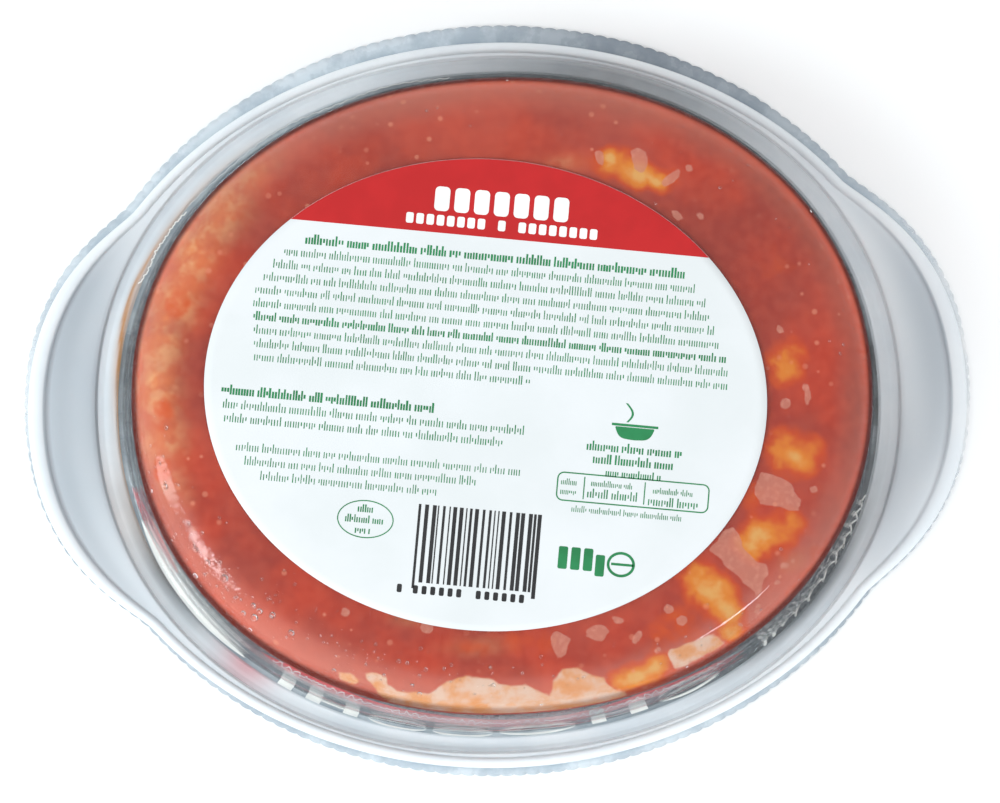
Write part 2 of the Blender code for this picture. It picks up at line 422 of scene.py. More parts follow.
def milky_plastic():
    """The thicker panel and bead: cloudy plastic that scatters what is behind it, greyed by painted shade in places."""
    material, nodes, links, shader = new_material("milky_plastic")
    set_values(shader, Transmission_Weight=0.20, IOR=1.49, Metallic=0.0)
    haze = place_group(
        nodes, cloud_group, Light=(0.92, 0.95, 0.97, 1.0), Dark=(0.86, 0.905, 0.94, 1.0), Scale=1 / (26 * MM)
    )
    # Painted shade: the ear panels go grey-blue towards their outer part.
    ear_panel_shade = maths(nodes, links, "MULTIPLY", field_node(nodes, "ear_panel_shade"), 0.60)
    colour = mix_colour(nodes, links, ear_panel_shade, haze.outputs["Colour"], (0.42, 0.49, 0.55))
    colour = mix_colour(nodes, links, field_node(nodes, "shade"), colour, (0.34, 0.39, 0.44))
    links.new(colour, shader.inputs["Base Color"])
    links.new(ramp(nodes, links, haze.outputs["Mask"], 0.0, 1.0, 0.30, 0.45), shader.inputs["Roughness"])
    grain = place_group(nodes, grain_group, Scale=1 / (0.6 * MM), Strength=0.08, Depth=0.05 * MM)
    links.new(grain.outputs["Normal"], shader.inputs["Normal"])
    let_lamps_through(material, (0.80, 0.83, 0.85))
    return material


CLEAR_PLASTIC = clear_plastic()
LEDGE_PLASTIC = ledge_plastic()
MILKY_PLASTIC = milky_plastic()
print("plastic finishes:", CLEAR_PLASTIC.name, LEDGE_PLASTIC.name, MILKY_PLASTIC.name)

# %% [markdown]
# ## The tray
#
# The real tray is one thin sheet, drawn down over a mould: a flat base, a rounded corner, a drafted wall, then a
# flange with a seal ledge, a step and a rolled bead that swings out round two ears. A lathe can't turn it, because
# the sections are not all the same oval. So each stretch of the section is a formula in the bearing, the stretches
# are stacked into one grid, and the inside skin is the same grid moved in by the sheet's thickness.

# %% Dimensions of the tray
SHEET = 0.6 * MM
BASE_OVAL = (76.7 * MM, 65.8 * MM)
BASE_ROUNDING = 9.0 * MM
MOUTH_OVAL = (80.8 * MM, 70.6 * MM)
MOUTH_ROUNDING = 1.0 * MM
SEAL_OVAL = (86.5 * MM, 75.0 * MM)
RIM_OVAL = (93.7 * MM, 78.6 * MM)
RIM_WIDTH_AT_SIDES = 2.3 * MM
RIM_WIDTH_AT_EARS = 3.8 * MM
EAR_REACH = 7.8 * MM
EAR_HALF_ANGLE = math.radians(30.5)
LEDGE_RISE = 1.2 * MM
PANEL_RISE = 2.0 * MM
RIM_RISE = 3.1 * MM
LIP_RISE = 1.6 * MM
STEP_RUN = 0.7 * MM


def ear_share(bearing):
    """1 at an ear's tip and 0 beyond the ear: (1 - s^3)^1.5, s running from X to the half angle."""
    from_end = np.abs((bearing + math.pi / 2) % math.pi - math.pi / 2)
    share = np.minimum(from_end / EAR_HALF_ANGLE, 1.0)
    return (1.0 - share**3) ** 1.5


def rim_radius(bearing):
    """Radius of the tray's outer edge: the rim oval plus the reach of the ears."""
    return oval_radius(RIM_OVAL, bearing) + EAR_REACH * ear_share(bearing)


def rim_width(bearing):
    """Width of the rolled bead, which is wider round the ears."""
    return RIM_WIDTH_AT_SIDES + (RIM_WIDTH_AT_EARS - RIM_WIDTH_AT_SIDES) * ear_share(bearing)


def wall_radius(height, bearing):
    """Radius of the drafted wall at a height: the base oval widening evenly to the mouth oval."""
    share = (TOP - height) / (TOP - LEDGE_RISE)
    base, mouth = bowl_oval_radius(BASE_OVAL, bearing), bowl_oval_radius(MOUTH_OVAL, bearing)
    return base + (mouth - base) * share


# %% The section, stretch by stretch
def bowl_grid(bearing, inset, base_rings, corner_rings):
    """Base and rounded corner, moved in by inset: rings spread over the flat, then a quarter round down to the wall."""
    top = TOP - inset
    flat_edge = wall_radius(top, bearing) - inset - (BASE_ROUNDING - inset)
    share = np.linspace(0.0, 1.0, base_rings + 1)[1:, None]
    flat = (share * flat_edge, np.full((base_rings, len(bearing)), top))
    angle = np.linspace(0.0, math.radians(82.0), corner_rings + 1)[1:, None]
    corner = BASE_ROUNDING - inset
    height = top - corner * (1.0 - np.cos(angle)) + np.zeros(len(bearing))
    radius = wall_radius(height, bearing) - inset - corner * (1.0 - np.sin(angle))
    return np.concatenate([flat[0], radius]), np.concatenate([flat[1], height])


def flange_grid(bearing):
    """Mouth rounding, seal ledge with a shallow groove, step, ear panel and rolled bead, from inside to outside."""
    mouth = bowl_oval_radius(MOUTH_OVAL, bearing)
    seal = bowl_oval_radius(SEAL_OVAL, bearing)
    rim, width = rim_radius(bearing), rim_width(bearing)
    rows = []
    angle = np.linspace(0.0, math.pi / 2, 7)[:, None]
    rows.append((mouth + MOUTH_ROUNDING * (1 - np.cos(angle)), LEDGE_RISE + MOUTH_ROUNDING * (1 - np.sin(angle))))
    share = np.linspace(0.0, 1.0, 11)[1:, None]
    start = mouth + MOUTH_ROUNDING
    groove = 0.18 * MM * np.sin(math.pi * np.clip((share - 0.55) / 0.4, 0, 1)) ** 2
    rows.append((start + (seal - start) * share, LEDGE_RISE - groove))
    share = np.linspace(0.0, 1.0, 6)[1:, None]
    rows.append((seal + STEP_RUN * share, LEDGE_RISE + (PANEL_RISE - LEDGE_RISE) * smooth(share)))
    share = np.linspace(0.0, 1.0, 11)[1:, None]
    foot = rim - width
    panel = seal + STEP_RUN
    dip = 0.35 * MM * ear_share(bearing) * np.sin(math.pi * share) ** 2
    rows.append((panel + (foot - panel) * share, PANEL_RISE - dip))
    angle = np.linspace(0.0, math.pi, 15)[1:, None]
    lift = PANEL_RISE + (LIP_RISE - PANEL_RISE) * smooth(angle / math.pi)
    rows.append((rim - width / 2 * (1 + np.cos(angle)), lift + (RIM_RISE - PANEL_RISE) * np.sin(angle)))
    spread = [np.broadcast_arrays(radius, height + 0 * bearing) for radius, height in rows]
    return np.concatenate([r for r, _ in spread]), np.concatenate([h for _, h in spread])


# %% Build the tray
tray_bearings = bearings(360)
bowl_radii, bowl_heights = bowl_grid(tray_bearings, 0.0, 10, 16)
wall_heights = np.linspace(bowl_heights[-1, 0], LEDGE_RISE + MOUTH_ROUNDING, 12)[1:-1, None] + 0 * tray_bearings
flange_radii, flange_heights = flange_grid(tray_bearings)
outer_skin = ring_points(
    np.concatenate([bowl_radii, wall_radius(wall_heights, tray_bearings), flange_radii]),
    np.concatenate([bowl_heights, wall_heights, flange_heights]),
    tray_bearings,
)
inner_skin = outer_skin - SHEET * grid_normals(outer_skin)
lip = (outer_skin[-1] + inner_skin[-1]) / 2
tray_skin = np.concatenate([outer_skin, lip[None], inner_skin[::-1]])
mouth_ring = len(bowl_radii) + len(wall_heights)
ledge_ring, panel_ring = mouth_ring + 8, mouth_ring + 17
zone = np.where(np.arange(len(outer_skin)) < ledge_ring, 0, np.where(np.arange(len(outer_skin)) < panel_ring, 1, 2))
tray_slots = np.concatenate([zone, [2], zone[::-1]])
tray = closed_grid("tray_shell", tray_skin, [CLEAR_PLASTIC, LEDGE_PLASTIC, MILKY_PLASTIC], tray_slots)


def tray_field(outer):
    """Stores a value given for the outer skin at the same places of the whole closed skin and its two poles."""
    whole = np.concatenate([outer, outer[-1:], outer[::-1]]).ravel()
    return np.concatenate([whole, [outer[0].mean(), outer[0].mean()]])


heights = outer_skin[..., 2]
taut_from = (28.8 + 2.2 * bearing_bump(tray_bearings, 50, 80)) * MM
stretched = smooth((taut_from - heights) / (2.8 * MM)) - 0.50 * smooth((23.0 * MM - heights) / (8.0 * MM))
add_field(tray, "body", tray_field(1.0 - 0.95 * stretched * (zone == 0)[:, None]))
across = np.hypot(outer_skin[..., 0] - CENTRE[0], outer_skin[..., 1] - CENTRE[1])
from_base = bowl_oval_radius(BASE_OVAL, tray_bearings) - across
misted = bearing_bump(tray_bearings, 209, 6) + 0.30 * bearing_bump(tray_bearings, 195, 8)
add_field(tray, "mist", tray_field(misted * smooth(1.3 - np.abs(from_base / MM - 5.0) / 4.5) * (zone == 0)[:, None]))
from_mouth = (across - bowl_oval_radius(MOUTH_OVAL, tray_bearings)) / MM
outwards = np.clip((from_mouth - 1.0) / 3.6, 0, 1)
# Painted shade on the ledge by bearing: the far side, by the right ear, on the left and at the front, fading outwards.
far_side = 0.65 * bearing_bump(tray_bearings, 70, 26) * (1.0 - 0.3 * outwards * bearing_bump(tray_bearings, 95, 25))
ear_side = 0.85 * bearing_bump(tray_bearings, 326, 17) * (1 - smooth((outwards - 0.15) / 0.85))
ear_side = ear_side + 0.36 * bearing_bump(tray_bearings, 343, 16) * outwards
left_side = 0.95 * bearing_bump(tray_bearings, 205, 14) * (1 - 0.72 * outwards)
near_side = 0.26 * bearing_bump(tray_bearings, 255, 32) * smooth((outwards - 0.3) / 0.4)
ledge_shade = np.clip(0.03 + far_side + ear_side + left_side + near_side, 0, 1)
add_field(tray, "ledge_shade", tray_field(ledge_shade * (1 - 0.35 * smooth((outwards - 0.8) / 0.2))))
# Painted refraction of the sauce on the ledge: a line along the mouth and a soft glow, on the left side.
amber_middle = np.interp(np.degrees(tray_bearings) % 360, [148, 155, 160, 165, 171, 177], [1.9, 2.3, 2.8, 2.6, 1.7, 1.5])
amber_line = 0.95 * bearing_bump(tray_bearings, 172, 22) * np.exp(-(((from_mouth - amber_middle) / 0.36) ** 2))
amber_glow = 0.5 * bearing_bump(tray_bearings, 168, 12) + 0.22 * bearing_bump(tray_bearings, 146, 18)
sauce_refraction = np.clip(amber_line + amber_glow * (1 - smooth((from_mouth - 1.6) / 2.4)), 0, 1)
add_field(tray, "sauce_refraction", tray_field(sauce_refraction + 0.16 * bearing_bump(tray_bearings, 194, 9)))
add_field(tray, "blush", tray_field(0.62 * bearing_bump(tray_bearings, 223.5, 4.2) * (1 - 0.5 * outwards)))
seal = bowl_oval_radius(SEAL_OVAL, tray_bearings)
foot = rim_radius(tray_bearings) - rim_width(tray_bearings)
panel_share = np.clip((across - seal) / (foot - seal), 0, 1) * (across < foot + 0.5 * MM)
# Painted shade on the ear panels, strongest towards the rim.
ear_panel_shade = smooth(panel_share * 1.2) * ear_share(tray_bearings) * (1 - 0.9 * bearing_bump(tray_bearings, 343, 9))
add_field(tray, "ear_panel_shade", tray_field(ear_panel_shade))
# Painted shade on the flange by bearing: the ears, the far side and the left.
left_ear = 0.64 * bearing_bump(tray_bearings, 178, 24) * (1 - panel_share)
left_ear = left_ear + 0.42 * bearing_bump(tray_bearings, 163, 9) * panel_share
right_ear = 0.62 * bearing_bump(tray_bearings, 347, 13) * (1 - panel_share)
right_ear = right_ear + 0.24 * bearing_bump(tray_bearings, 8, 10) * (0.5 + 0.5 * panel_share)
panel_shade = (0.34 * bearing_bump(tray_bearings, 70, 17) + left_ear + right_ear) * (across < foot + 0.3 * MM)
panel_shade = panel_shade + 0.15 * bearing_bump(tray_bearings, 196, 42)
add_field(tray, "shade", tray_field(panel_shade * (zone == 2)[:, None]))
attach(tray, "root")
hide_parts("tray")
print("tray triangles:", len(tray.data.polygons))

# %% [markdown]
# ## The sauce
#
# From above the food is a picture pressed against clear plastic: smooth tomato sauce, orange where a gnocco sits
# close behind it, pale and sharp-edged where a pocket of air or melted cheese touches the base. Boolean shapes or
# sculpting would be heavy for this. One closed skin follows the tray's inside, reaching a little into its wall so
# that no air shows between the two, and carries each kind of patch as a distance stored at its points.

# %% Where the patches are
# Places are in millimetres from the tray's centre, X towards an ear.
AIR_POCKETS = [
    [(52.2, -19.4), (55.8, -20.8), (57.8, -22.2), (59.9, -25.7), (59.3, -28.0), (56.7, -27.3), (53.9, -26.4),
     (51.3, -26.3), (50.2, -22.6)],
    [(43.5, -31.3), (45.4, -30.5), (46.8, -32.5), (47.2, -34.9), (49.2, -37.3), (51.9, -38.7), (52.1, -40.5),
     (50.9, -42.7), (50.2, -45.3), (50.4, -48.6), (49.2, -49.3), (48.7, -48.2), (49.6, -46.4), (49.0, -43.9),
     (46.3, -41.5), (43.7, -38.5), (41.5, -36.1), (40.0, -35.3)],
    [(60.1, -31.6), (61.2, -32.4), (61.1, -34.5), (60.2, -35.2), (60.3, -33.4)],
    [(7.3, -49.8), (11.5, -51.6), (10.2, -53.0), (9.6, -55.1), (8.0, -55.7), (6.8, -53.4), (7.0, -50.8)],
    [(14.2, -50.2), (15.8, -49.2), (18.3, -49.6), (19.0, -50.9), (16.9, -52.6), (13.9, -51.4)],
    [(19.7, -47.4), (22.2, -48.5), (21.2, -49.0), (19.2, -48.6)],
    [(24.4, -50.7), (25.7, -51.3), (25.1, -52.8), (23.8, -53.7), (23.6, -52.7)],
    [(62.0, 0.6), (62.9, -2.6), (63.2, -5.4), (62.4, -7.0), (61.5, -5.4), (61.6, -2.4)],
    [(35.8, 35.6), (38.0, 35.4), (39.2, 33.8), (37.6, 33.6)],
    [(41.8, 35.4), (42.9, 34.6), (42.6, 33.0), (41.6, 33.6)],
    [(28.4, 48.4), (30.0, 49.2), (31.7, 48.4), (32.2, 46.6), (31.6, 45.2), (30.6, 44.0), (29.6, 44.6), (28.8, 46.0)],
    [(20.9, 48.7), (22.3, 48.9), (22.9, 47.2), (22.4, 45.4), (21.3, 46.2)],
    [(38.2, 44.2), (38.8, 43.2), (37.2, 41.8), (35.4, 40.6), (34.2, 41.2), (35.6, 42.6)],
]
AIR_DOTS = [
    (55.5, -39.1, 0.8), (57.4, -38.3, 0.6), (54.0, -42.4, 0.6), (62.4, -23.7, 0.7), (31.3, -46.8, 0.9),
    (33.8, -49.1, 1.1), (57.5, 9.7, 0.9), (57.7, -5.4, 1.1), (58.0, -8.8, 0.7), (49.9, 27.0, 0.5),
    (40.4, 44.2, 0.6), (28.8, -55.0, 0.7), (-18.5, -48.0, 1.2), (-35.0, -44.0, 0.9), (46.0, -50.5, 0.6),
]
CREAM_PATCHES = [
    [(-31.5, -57.1), (-29.7, -56.5), (-27.1, -57.7), (-27.1, -59.4), (-23.8, -60.9), (-18.4, -61.5), (-14.5, -59.3),
     (-10.7, -58.3), (-6.6, -59.0), (-3.3, -60.6), (0.8, -60.4), (3.5, -61.9), (5.8, -63.4), (6.4, -62.1),
     (6.8, -60.0), (9.0, -57.8), (11.6, -57.7), (13.8, -59.1), (17.1, -60.0), (18.6, -61.8), (23.0, -64.0),
     (13.2, -67.5), (-2.0, -68.0), (-13.8, -66.9), (-23.2, -65.0), (-28.9, -61.2)],
    [(31.0, -55.1), (33.4, -54.4), (40.2, -52.2), (42.7, -54.1), (37.4, -57.2), (32.2, -58.9), (30.7, -56.6)],
    [(-37.2, -55.9), (-34.4, -56.4), (-31.9, -58.2), (-33.6, -58.9), (-36.4, -57.4)],
]
# Where a gnocco shows through the sauce: x, y, half length, half width, turn in degrees, strength.
GNOCCO_GLOWS = [
    (58.4, -16.0, 5.6, 4.6, 0, 0.80), (50.4, -33.0, 4.6, 4.4, 30, 0.86), (55.1, -32.1, 4.8, 4.2, 0, 0.84),
    (39.6, -42.4, 5.4, 4.2, -40, 1.0), (43.1, -48.0, 4.4, 3.6, -60, 0.78), (43.7, -51.6, 3.8, 2.4, 20, 0.75),
    (23.2, -60.4, 5.0, 2.6, 12, 0.88), (28.9, -58.2, 5.4, 2.6, 22, 0.80), (27.0, 45.2, 6.6, 3.5, -30, 0.84),
    (33.4, 42.0, 4.4, 2.3, -26, 0.74), (58.4, 2.9, 3.8, 4.4, 0, 0.84), (52.0, -26.0, 7.0, 5.0, -70, 0.30),
    (34.0, -52.0, 12.0, 6.0, 25, 0.36), (58.0, -35.0, 7.0, 5.0, 40, 0.30), (30.0, 44.0, 10.0, 6.0, -20, 0.30),
    (28.0, 43.8, 4.6, 2.5, -30, 1.04), (24.6, 47.0, 2.4, 1.6, -20, 0.94), (33.4, 41.6, 2.0, 1.2, -30, 0.94),
    (2.0, -52.0, 7.0, 3.6, 0, 0.34), (60.0, 20.0, 8.0, 14.0, 20, 0.20), (-10.0, -53.0, 8.0, 3.0, 0, 0.22),
    (-66.0, 22.0, 5.0, 3.0, 68, 0.34), (-70.6, -3.0, 6.0, 3.0, 92, 0.34), (-71.0, -13.0, 3.0, 1.8, 98, 0.48),
]
# Paler dough and oil pressed to the plastic, in the same terms.
PEACH_SPOTS = [
    (-50.5, 46.5, 6.5, 3.0, 42, 0.40), (-57.0, 38.8, 6.8, 4.4, 52, 0.68), (-62.4, 31.0, 6.8, 4.4, 60, 0.76),
    (-66.4, 22.0, 7.4, 4.6, 68, 0.74), (-70.0, 13.0, 6.6, 3.9, 78, 0.70), (-71.0, 3.0, 7.2, 4.0, 90, 0.74),
    (-70.4, -6.5, 6.0, 4.0, 98, 0.60), (-69.0, -16.0, 5.0, 3.0, 104, 0.36), (-63.2, 31.8, 2.6, 1.5, 60, 0.95),
    (-68.9, 17.6, 2.0, 1.3, 70, 0.90), (-71.7, 5.3, 2.4, 1.5, 85, 0.95), (16.3, 46.6, 4.4, 1.4, -4, 0.36),
    (57.4, -38.0, 3.0, 2.0, 0, 0.20), (-22.0, -46.0, 3.0, 1.4, 0, 0.25), (-8.0, -52.5, 6.0, 1.8, 0, 0.26),
]


def polygon_depth(x, y, corners):
    """Signed distance to a polygon's edge in mm, positive inside: nearest edge, sign by crossings of a ray."""
    points = np.array(corners)
    nearest = np.full(x.shape, 1e9)
    inside = np.zeros(x.shape, bool)
    for (ax, ay), (bx, by) in zip(points, np.roll(points, -1, axis=0)):
        run_x, run_y = bx - ax, by - ay
        share = np.clip(((x - ax) * run_x + (y - ay) * run_y) / (run_x**2 + run_y**2), 0, 1)
        nearest = np.minimum(nearest, np.hypot(x - ax - share * run_x, y - ay - share * run_y))
        crosses = (ay > y) != (by > y)
        inside ^= crosses & (x < ax + (y - ay) * run_x / (run_y if run_y else 1e-9))
    return np.where(inside, nearest, -nearest)


def patch_depth(x, y, polygons, dots=()):
    """Largest signed distance over all patches of one kind."""
    depth = np.full(x.shape, -5.0)
    for corners in polygons:
        depth = np.maximum(depth, polygon_depth(x, y, corners))
    for dot_x, dot_y, radius in dots:
        depth = np.maximum(depth, radius - np.hypot(x - dot_x, y - dot_y))
    return depth


def spot_strength(x, y, spots):
    """How strongly a soft spot shows: the strongest of ellipses, strength * exp(-0.7 spread^2.4)."""
    glow = np.zeros(x.shape)
    for place_x, place_y, half_length, half_width, turn, strength in spots:
        c, s = math.cos(math.radians(turn)), math.sin(math.radians(turn))
        along = ((x - place_x) * c + (y - place_y) * s) / half_length
        across = ((y - place_y) * c - (x - place_x) * s) / half_width
        glow = np.maximum(glow, strength * np.exp(-0.7 * np.hypot(along, across) ** 2.4))
    return glow


# %% Where the gnocchi lie
SAUCE_REACH = SHEET - 0.12 * MM
SAUCE_DEPTH_AT_WALL = 8.5 * MM
SAUCE_DEPTH_IN_MIDDLE = 13.0 * MM
GNOCCO_HALF = np.array([12.0, 8.4, 7.6]) * MM
GNOCCO_DEPTH = 9.8 * MM
OUTER_RING = (20, 0.80, math.radians(3.0))
INNER_RING = (8, 0.40, math.radians(20.0))
FOOD_TOP = TOP - 0.9 * MM


def gnocchi_places():
    """x, y and turn of every gnocco: two rings of evenly spaced bearings with a wobble of sin(2.4 i + 1)."""
    rows = []
    for count, share, first in (OUTER_RING, INNER_RING):
        i = np.arange(count)
        bearing = first + math.tau * i / count
        wobble = np.sin(2.4 * i + 1.0)
        radius = bowl_oval_radius(BASE_OVAL, bearing) * (share + 0.02 * wobble)
        rows.append(np.stack([radius * np.cos(bearing), radius * np.sin(bearing), bearing + 0.38 * wobble], axis=-1))
    return np.concatenate(rows)


PLACES = gnocchi_places()


def sauce_depth(x, y):
    """Depth of the free sauce below the base: level in the middle, less at the wall, drawn up around each gnocco."""
    share = np.hypot(x, y) / bowl_oval_radius(BASE_OVAL, np.arctan2(y, x))
    depth = SAUCE_DEPTH_IN_MIDDLE - (SAUCE_DEPTH_IN_MIDDLE - SAUCE_DEPTH_AT_WALL) * np.minimum(share, 1.0) ** 4
    for place_x, place_y, turn in PLACES:
        along = (x - place_x) * math.cos(turn) + (y - place_y) * math.sin(turn)
        across = (y - place_y) * math.cos(turn) - (x - place_x) * math.sin(turn)
        spread = np.hypot(along / GNOCCO_HALF[0], across / GNOCCO_HALF[1])
        depth = depth + 2.2 * MM * smooth((1.3 - spread) / 0.6)
    wave = ripple(np.stack([x, y], axis=-1), 17 * MM, 5)
    return np.minimum(depth + 0.5 * MM * wave * smooth((1.02 - share) / 0.1), 16.6 * MM)


# %% Build the sauce
food_bearings = bearings(400)
moulded_radii, moulded_heights = bowl_grid(food_bearings, SAUCE_REACH, 78, 16)
hem = SAUCE_DEPTH_AT_WALL + 0.35 * MM * ripple(np.stack([np.cos(food_bearings), np.sin(food_bearings)], -1), 0.5, 3)
share = np.linspace(0.0, 1.0, 6)[1:, None]
hem_heights = moulded_heights[-1] + (FOOD_TOP - hem - moulded_heights[-1]) * share
hem_radii = wall_radius(hem_heights, food_bearings) - SAUCE_REACH
share = np.linspace(1.0, 0.0, 41)[1:-1, None]
free_radii = hem_radii[-1] * share
free_depths = sauce_depth(free_radii * np.cos(food_bearings), free_radii * np.sin(food_bearings))
rounding = smooth((1.0 - share) / 0.04)
free_heights = FOOD_TOP - hem + (hem - free_depths) * rounding
sauce_grid = ring_points(
    np.concatenate([moulded_radii, hem_radii, free_radii]),
    np.concatenate([moulded_heights, hem_heights, free_heights]),
    food_bearings,
)
print("sauce grid:", sauce_grid.shape)

# %% [markdown]
# ### Looks of the sauce
#
# Tomato sauce is dull red where it lies thick and more orange where it is thin over a gnocco. The stored distances
# become crisp or soft masks in the material, and several sizes of noise keep any two places from looking alike.

# %% Sauce colours
def sauce_finish():
    """Tomato sauce with glows of gnocchi, cheese, air pockets, small bubbles, a painted sky reflection and painted
    shade at its hem.
    """
    material, nodes, links, shader = new_material("tomato_sauce")

    def field(name):
        node = nodes.new("ShaderNodeAttribute")
        node.attribute_name = name
        return node.outputs["Fac"]

    body = place_group(
        nodes, cloud_group, Light=(*paint(194, 62, 34), 1), Dark=(*paint(160, 58, 45), 1), Scale=1 / (20 * MM)
    )
    fine = place_group(
        nodes, cloud_group, Light=(*paint(222, 104, 74), 1), Dark=(*paint(160, 38, 22), 1), Scale=1 / (2.2 * MM)
    )
    colour = mix_colour(nodes, links, 0.16, body.outputs["Colour"], fine.outputs["Colour"])
    pale = noise_node(nodes, links, 34 * MM, 3.0)
    colour = mix_colour(
        nodes, links, ramp(nodes, links, pale.outputs["Fac"], 0.48, 0.72, 0.0, 0.35), colour, paint(196, 96, 78)
    )
    # Painted reflection: a pale veil near the edge stands for the studio sky mirrored in the rounded corner.
    colour = mix_colour(nodes, links, field("haze"), colour, paint(216, 134, 114))
    dough = noise_node(nodes, links, 6 * MM, 5.0, roughness=0.65)
    peach = maths(nodes, links, "MULTIPLY", field("peach"), ramp(nodes, links, dough.outputs["Fac"], 0.25, 0.62, 0.45, 1.0))
    peach_cloud = place_group(
        nodes, cloud_group, Light=(*paint(232, 178, 122), 1), Dark=(*paint(222, 132, 76), 1), Scale=1 / (3.6 * MM),
        Low=0.40, High=0.62,
    )
    colour = mix_colour(nodes, links, peach, colour, peach_cloud.outputs["Colour"])

    blotch = noise_node(nodes, links, 6.5 * MM, 4.0, roughness=0.55)
    uneven = ramp(nodes, links, blotch.outputs["Fac"], 0.25, 0.75, -0.30, 0.24)
    glow = maths(nodes, links, "ADD", field("gnocco_glow"), uneven)
    glow = maths(nodes, links, "MULTIPLY", glow, ramp(nodes, links, field("gnocco_glow"), 0.04, 0.26))
    colour = mix_colour(nodes, links, ramp(nodes, links, glow, 0.10, 0.50, 0.0, 0.8), colour, paint(210, 80, 24))
    colour = mix_colour(nodes, links, ramp(nodes, links, glow, 0.40, 0.80), colour, paint(222, 136, 44))
    colour = mix_colour(nodes, links, ramp(nodes, links, glow, 0.72, 1.0), colour, paint(222, 170, 98))

    wander = noise_node(nodes, links, 3.2 * MM, 2.0)
    drift = ramp(nodes, links, wander.outputs["Fac"], 0.2, 0.8, -0.35, 0.35)
    cream_mask = ramp(nodes, links, maths(nodes, links, "ADD", field("cream"), drift), -0.25, 0.35)
    cream_cloud = place_group(
        nodes, cloud_group, Light=(*paint(224, 196, 176), 1), Dark=(*paint(222, 156, 100), 1), Scale=1 / (5 * MM)
    )
    colour = mix_colour(
        nodes, links, maths(nodes, links, "MULTIPLY", cream_mask, 0.92), colour, cream_cloud.outputs["Colour"]
    )
    pocket_mask = ramp(nodes, links, maths(nodes, links, "ADD", field("air_pocket"), drift), -0.12, 0.12)
    veins = noise_node(nodes, links, 1.1 * MM, 2.0)
    pocket_colour = mix_colour(
        nodes, links, ramp(nodes, links, veins.outputs["Fac"], 0.45, 0.8), paint(206, 136, 116), paint(220, 158, 138)
    )
    colour = mix_colour(nodes, links, maths(nodes, links, "MULTIPLY", pocket_mask, 0.74), colour, pocket_colour)

    bubbles = nodes.new("ShaderNodeTexVoronoi")
    bubbles.inputs["Scale"].default_value = 1 / (2.6 * MM)
    links.new(nodes.new("ShaderNodeTexCoord").outputs["Object"], bubbles.inputs["Vector"])
    chosen = nodes.new("ShaderNodeSeparateColor")
    links.new(bubbles.outputs["Color"], chosen.inputs["Color"])
    size = ramp(nodes, links, chosen.outputs["Red"], 0.45, 1.0, 0.0, 0.24)
    inside = maths(nodes, links, "LESS_THAN", bubbles.outputs["Distance"], size)
    crowd = noise_node(nodes, links, 30 * MM, 2.0)
    seen = maths(nodes, links, "MULTIPLY", inside, ramp(nodes, links, crowd.outputs["Fac"], 0.40, 0.62, 0.10, 0.42))
    colour = mix_colour(nodes, links, seen, colour, paint(232, 156, 124))
    # Painted shade: the food's lower edge against the wall turns dark red.
    colour = mix_colour(nodes, links, field("painted_edge_shade"), colour, paint(70, 12, 8))
    links.new(colour, shader.inputs["Base Color"])
    links.new(ramp(nodes, links, fine.outputs["Mask"], 0.0, 1.0, 0.28, 0.46), shader.inputs["Roughness"])
    grain = place_group(nodes, grain_group, Scale=1 / (5 * MM), Strength=0.05, Depth=0.3 * MM)
    links.new(grain.outputs["Normal"], shader.inputs["Normal"])
    set_values(shader, IOR=1.36, Specular_IOR_Level=0.02)
    return material


TOMATO_SAUCE = sauce_finish()
sauce = closed_grid("sauce_body", sauce_grid, [TOMATO_SAUCE])
poles = np.stack([sauce_grid[0].mean(axis=0), sauce_grid[-1].mean(axis=0)])
sauce_points = (np.concatenate([sauce_grid.reshape(-1, 3), poles]) - CENTRE) / MM
sauce_x, sauce_y, sauce_z = sauce_points.T
moulded = sauce_z > (FOOD_TOP - 7.0 * MM) / MM
moulded &= np.concatenate([np.repeat(np.arange(len(sauce_grid)) < 100, 400), [True, False]])
add_field(sauce, "air_pocket", np.where(moulded, patch_depth(sauce_x, sauce_y, AIR_POCKETS, AIR_DOTS), -5.0))
add_field(sauce, "cream", np.where(moulded, patch_depth(sauce_x, sauce_y, CREAM_PATCHES), -5.0))
add_field(sauce, "gnocco_glow", np.where(moulded, spot_strength(sauce_x, sauce_y, GNOCCO_GLOWS), 0.0))
edge = bowl_oval_radius(BASE_OVAL, np.arctan2(sauce_y, sauce_x)) / MM - np.hypot(sauce_x, sauce_y)
sauce_bearing = np.arctan2(sauce_y, sauce_x)
# Painted reflection of the sky in the rounded corner, by bearing: strongest on the far side and at the front right.
sky_reflection = 0.30 + 0.36 * bearing_bump(sauce_bearing, 90, 55) + 0.14 * bearing_bump(sauce_bearing, 200, 50)
sky_reflection = sky_reflection + 0.34 * bearing_bump(sauce_bearing, 312, 24) + 0.18 * bearing_bump(sauce_bearing, 250, 32)
add_field(sauce, "haze", smooth((10.0 - edge) / 8.0) * (0.45 + 0.55 * smooth((edge - 0.3) / 2.2)) * sky_reflection * moulded)
add_field(sauce, "peach", np.where(moulded, spot_strength(sauce_x, sauce_y, PEACH_SPOTS), 0.0))
# Painted shade along the food's lower edge at the wall, lighter at the front.
near_side = bearing_bump(sauce_bearing, 275, 26)
lowest = smooth((sauce_z - 21.6) / 2.0)
add_field(sauce, "painted_edge_shade", smooth((27.8 - sauce_z) / 1.8) * lowest * (0.92 - 0.40 * near_side))
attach(sauce, "root")
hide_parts("gnocchi_in_sauce")
print("sauce triangles:", len(sauce.data.polygons))

# %% [markdown]
# ## The gnocchi
#
# A gnocco is a soft oval of potato dough, rolled down a fork: ridges along one side, a dimple on the other. All
# twenty-eight are one formula with small changes, sunk in the sauce from their free side, and joined in one mesh.

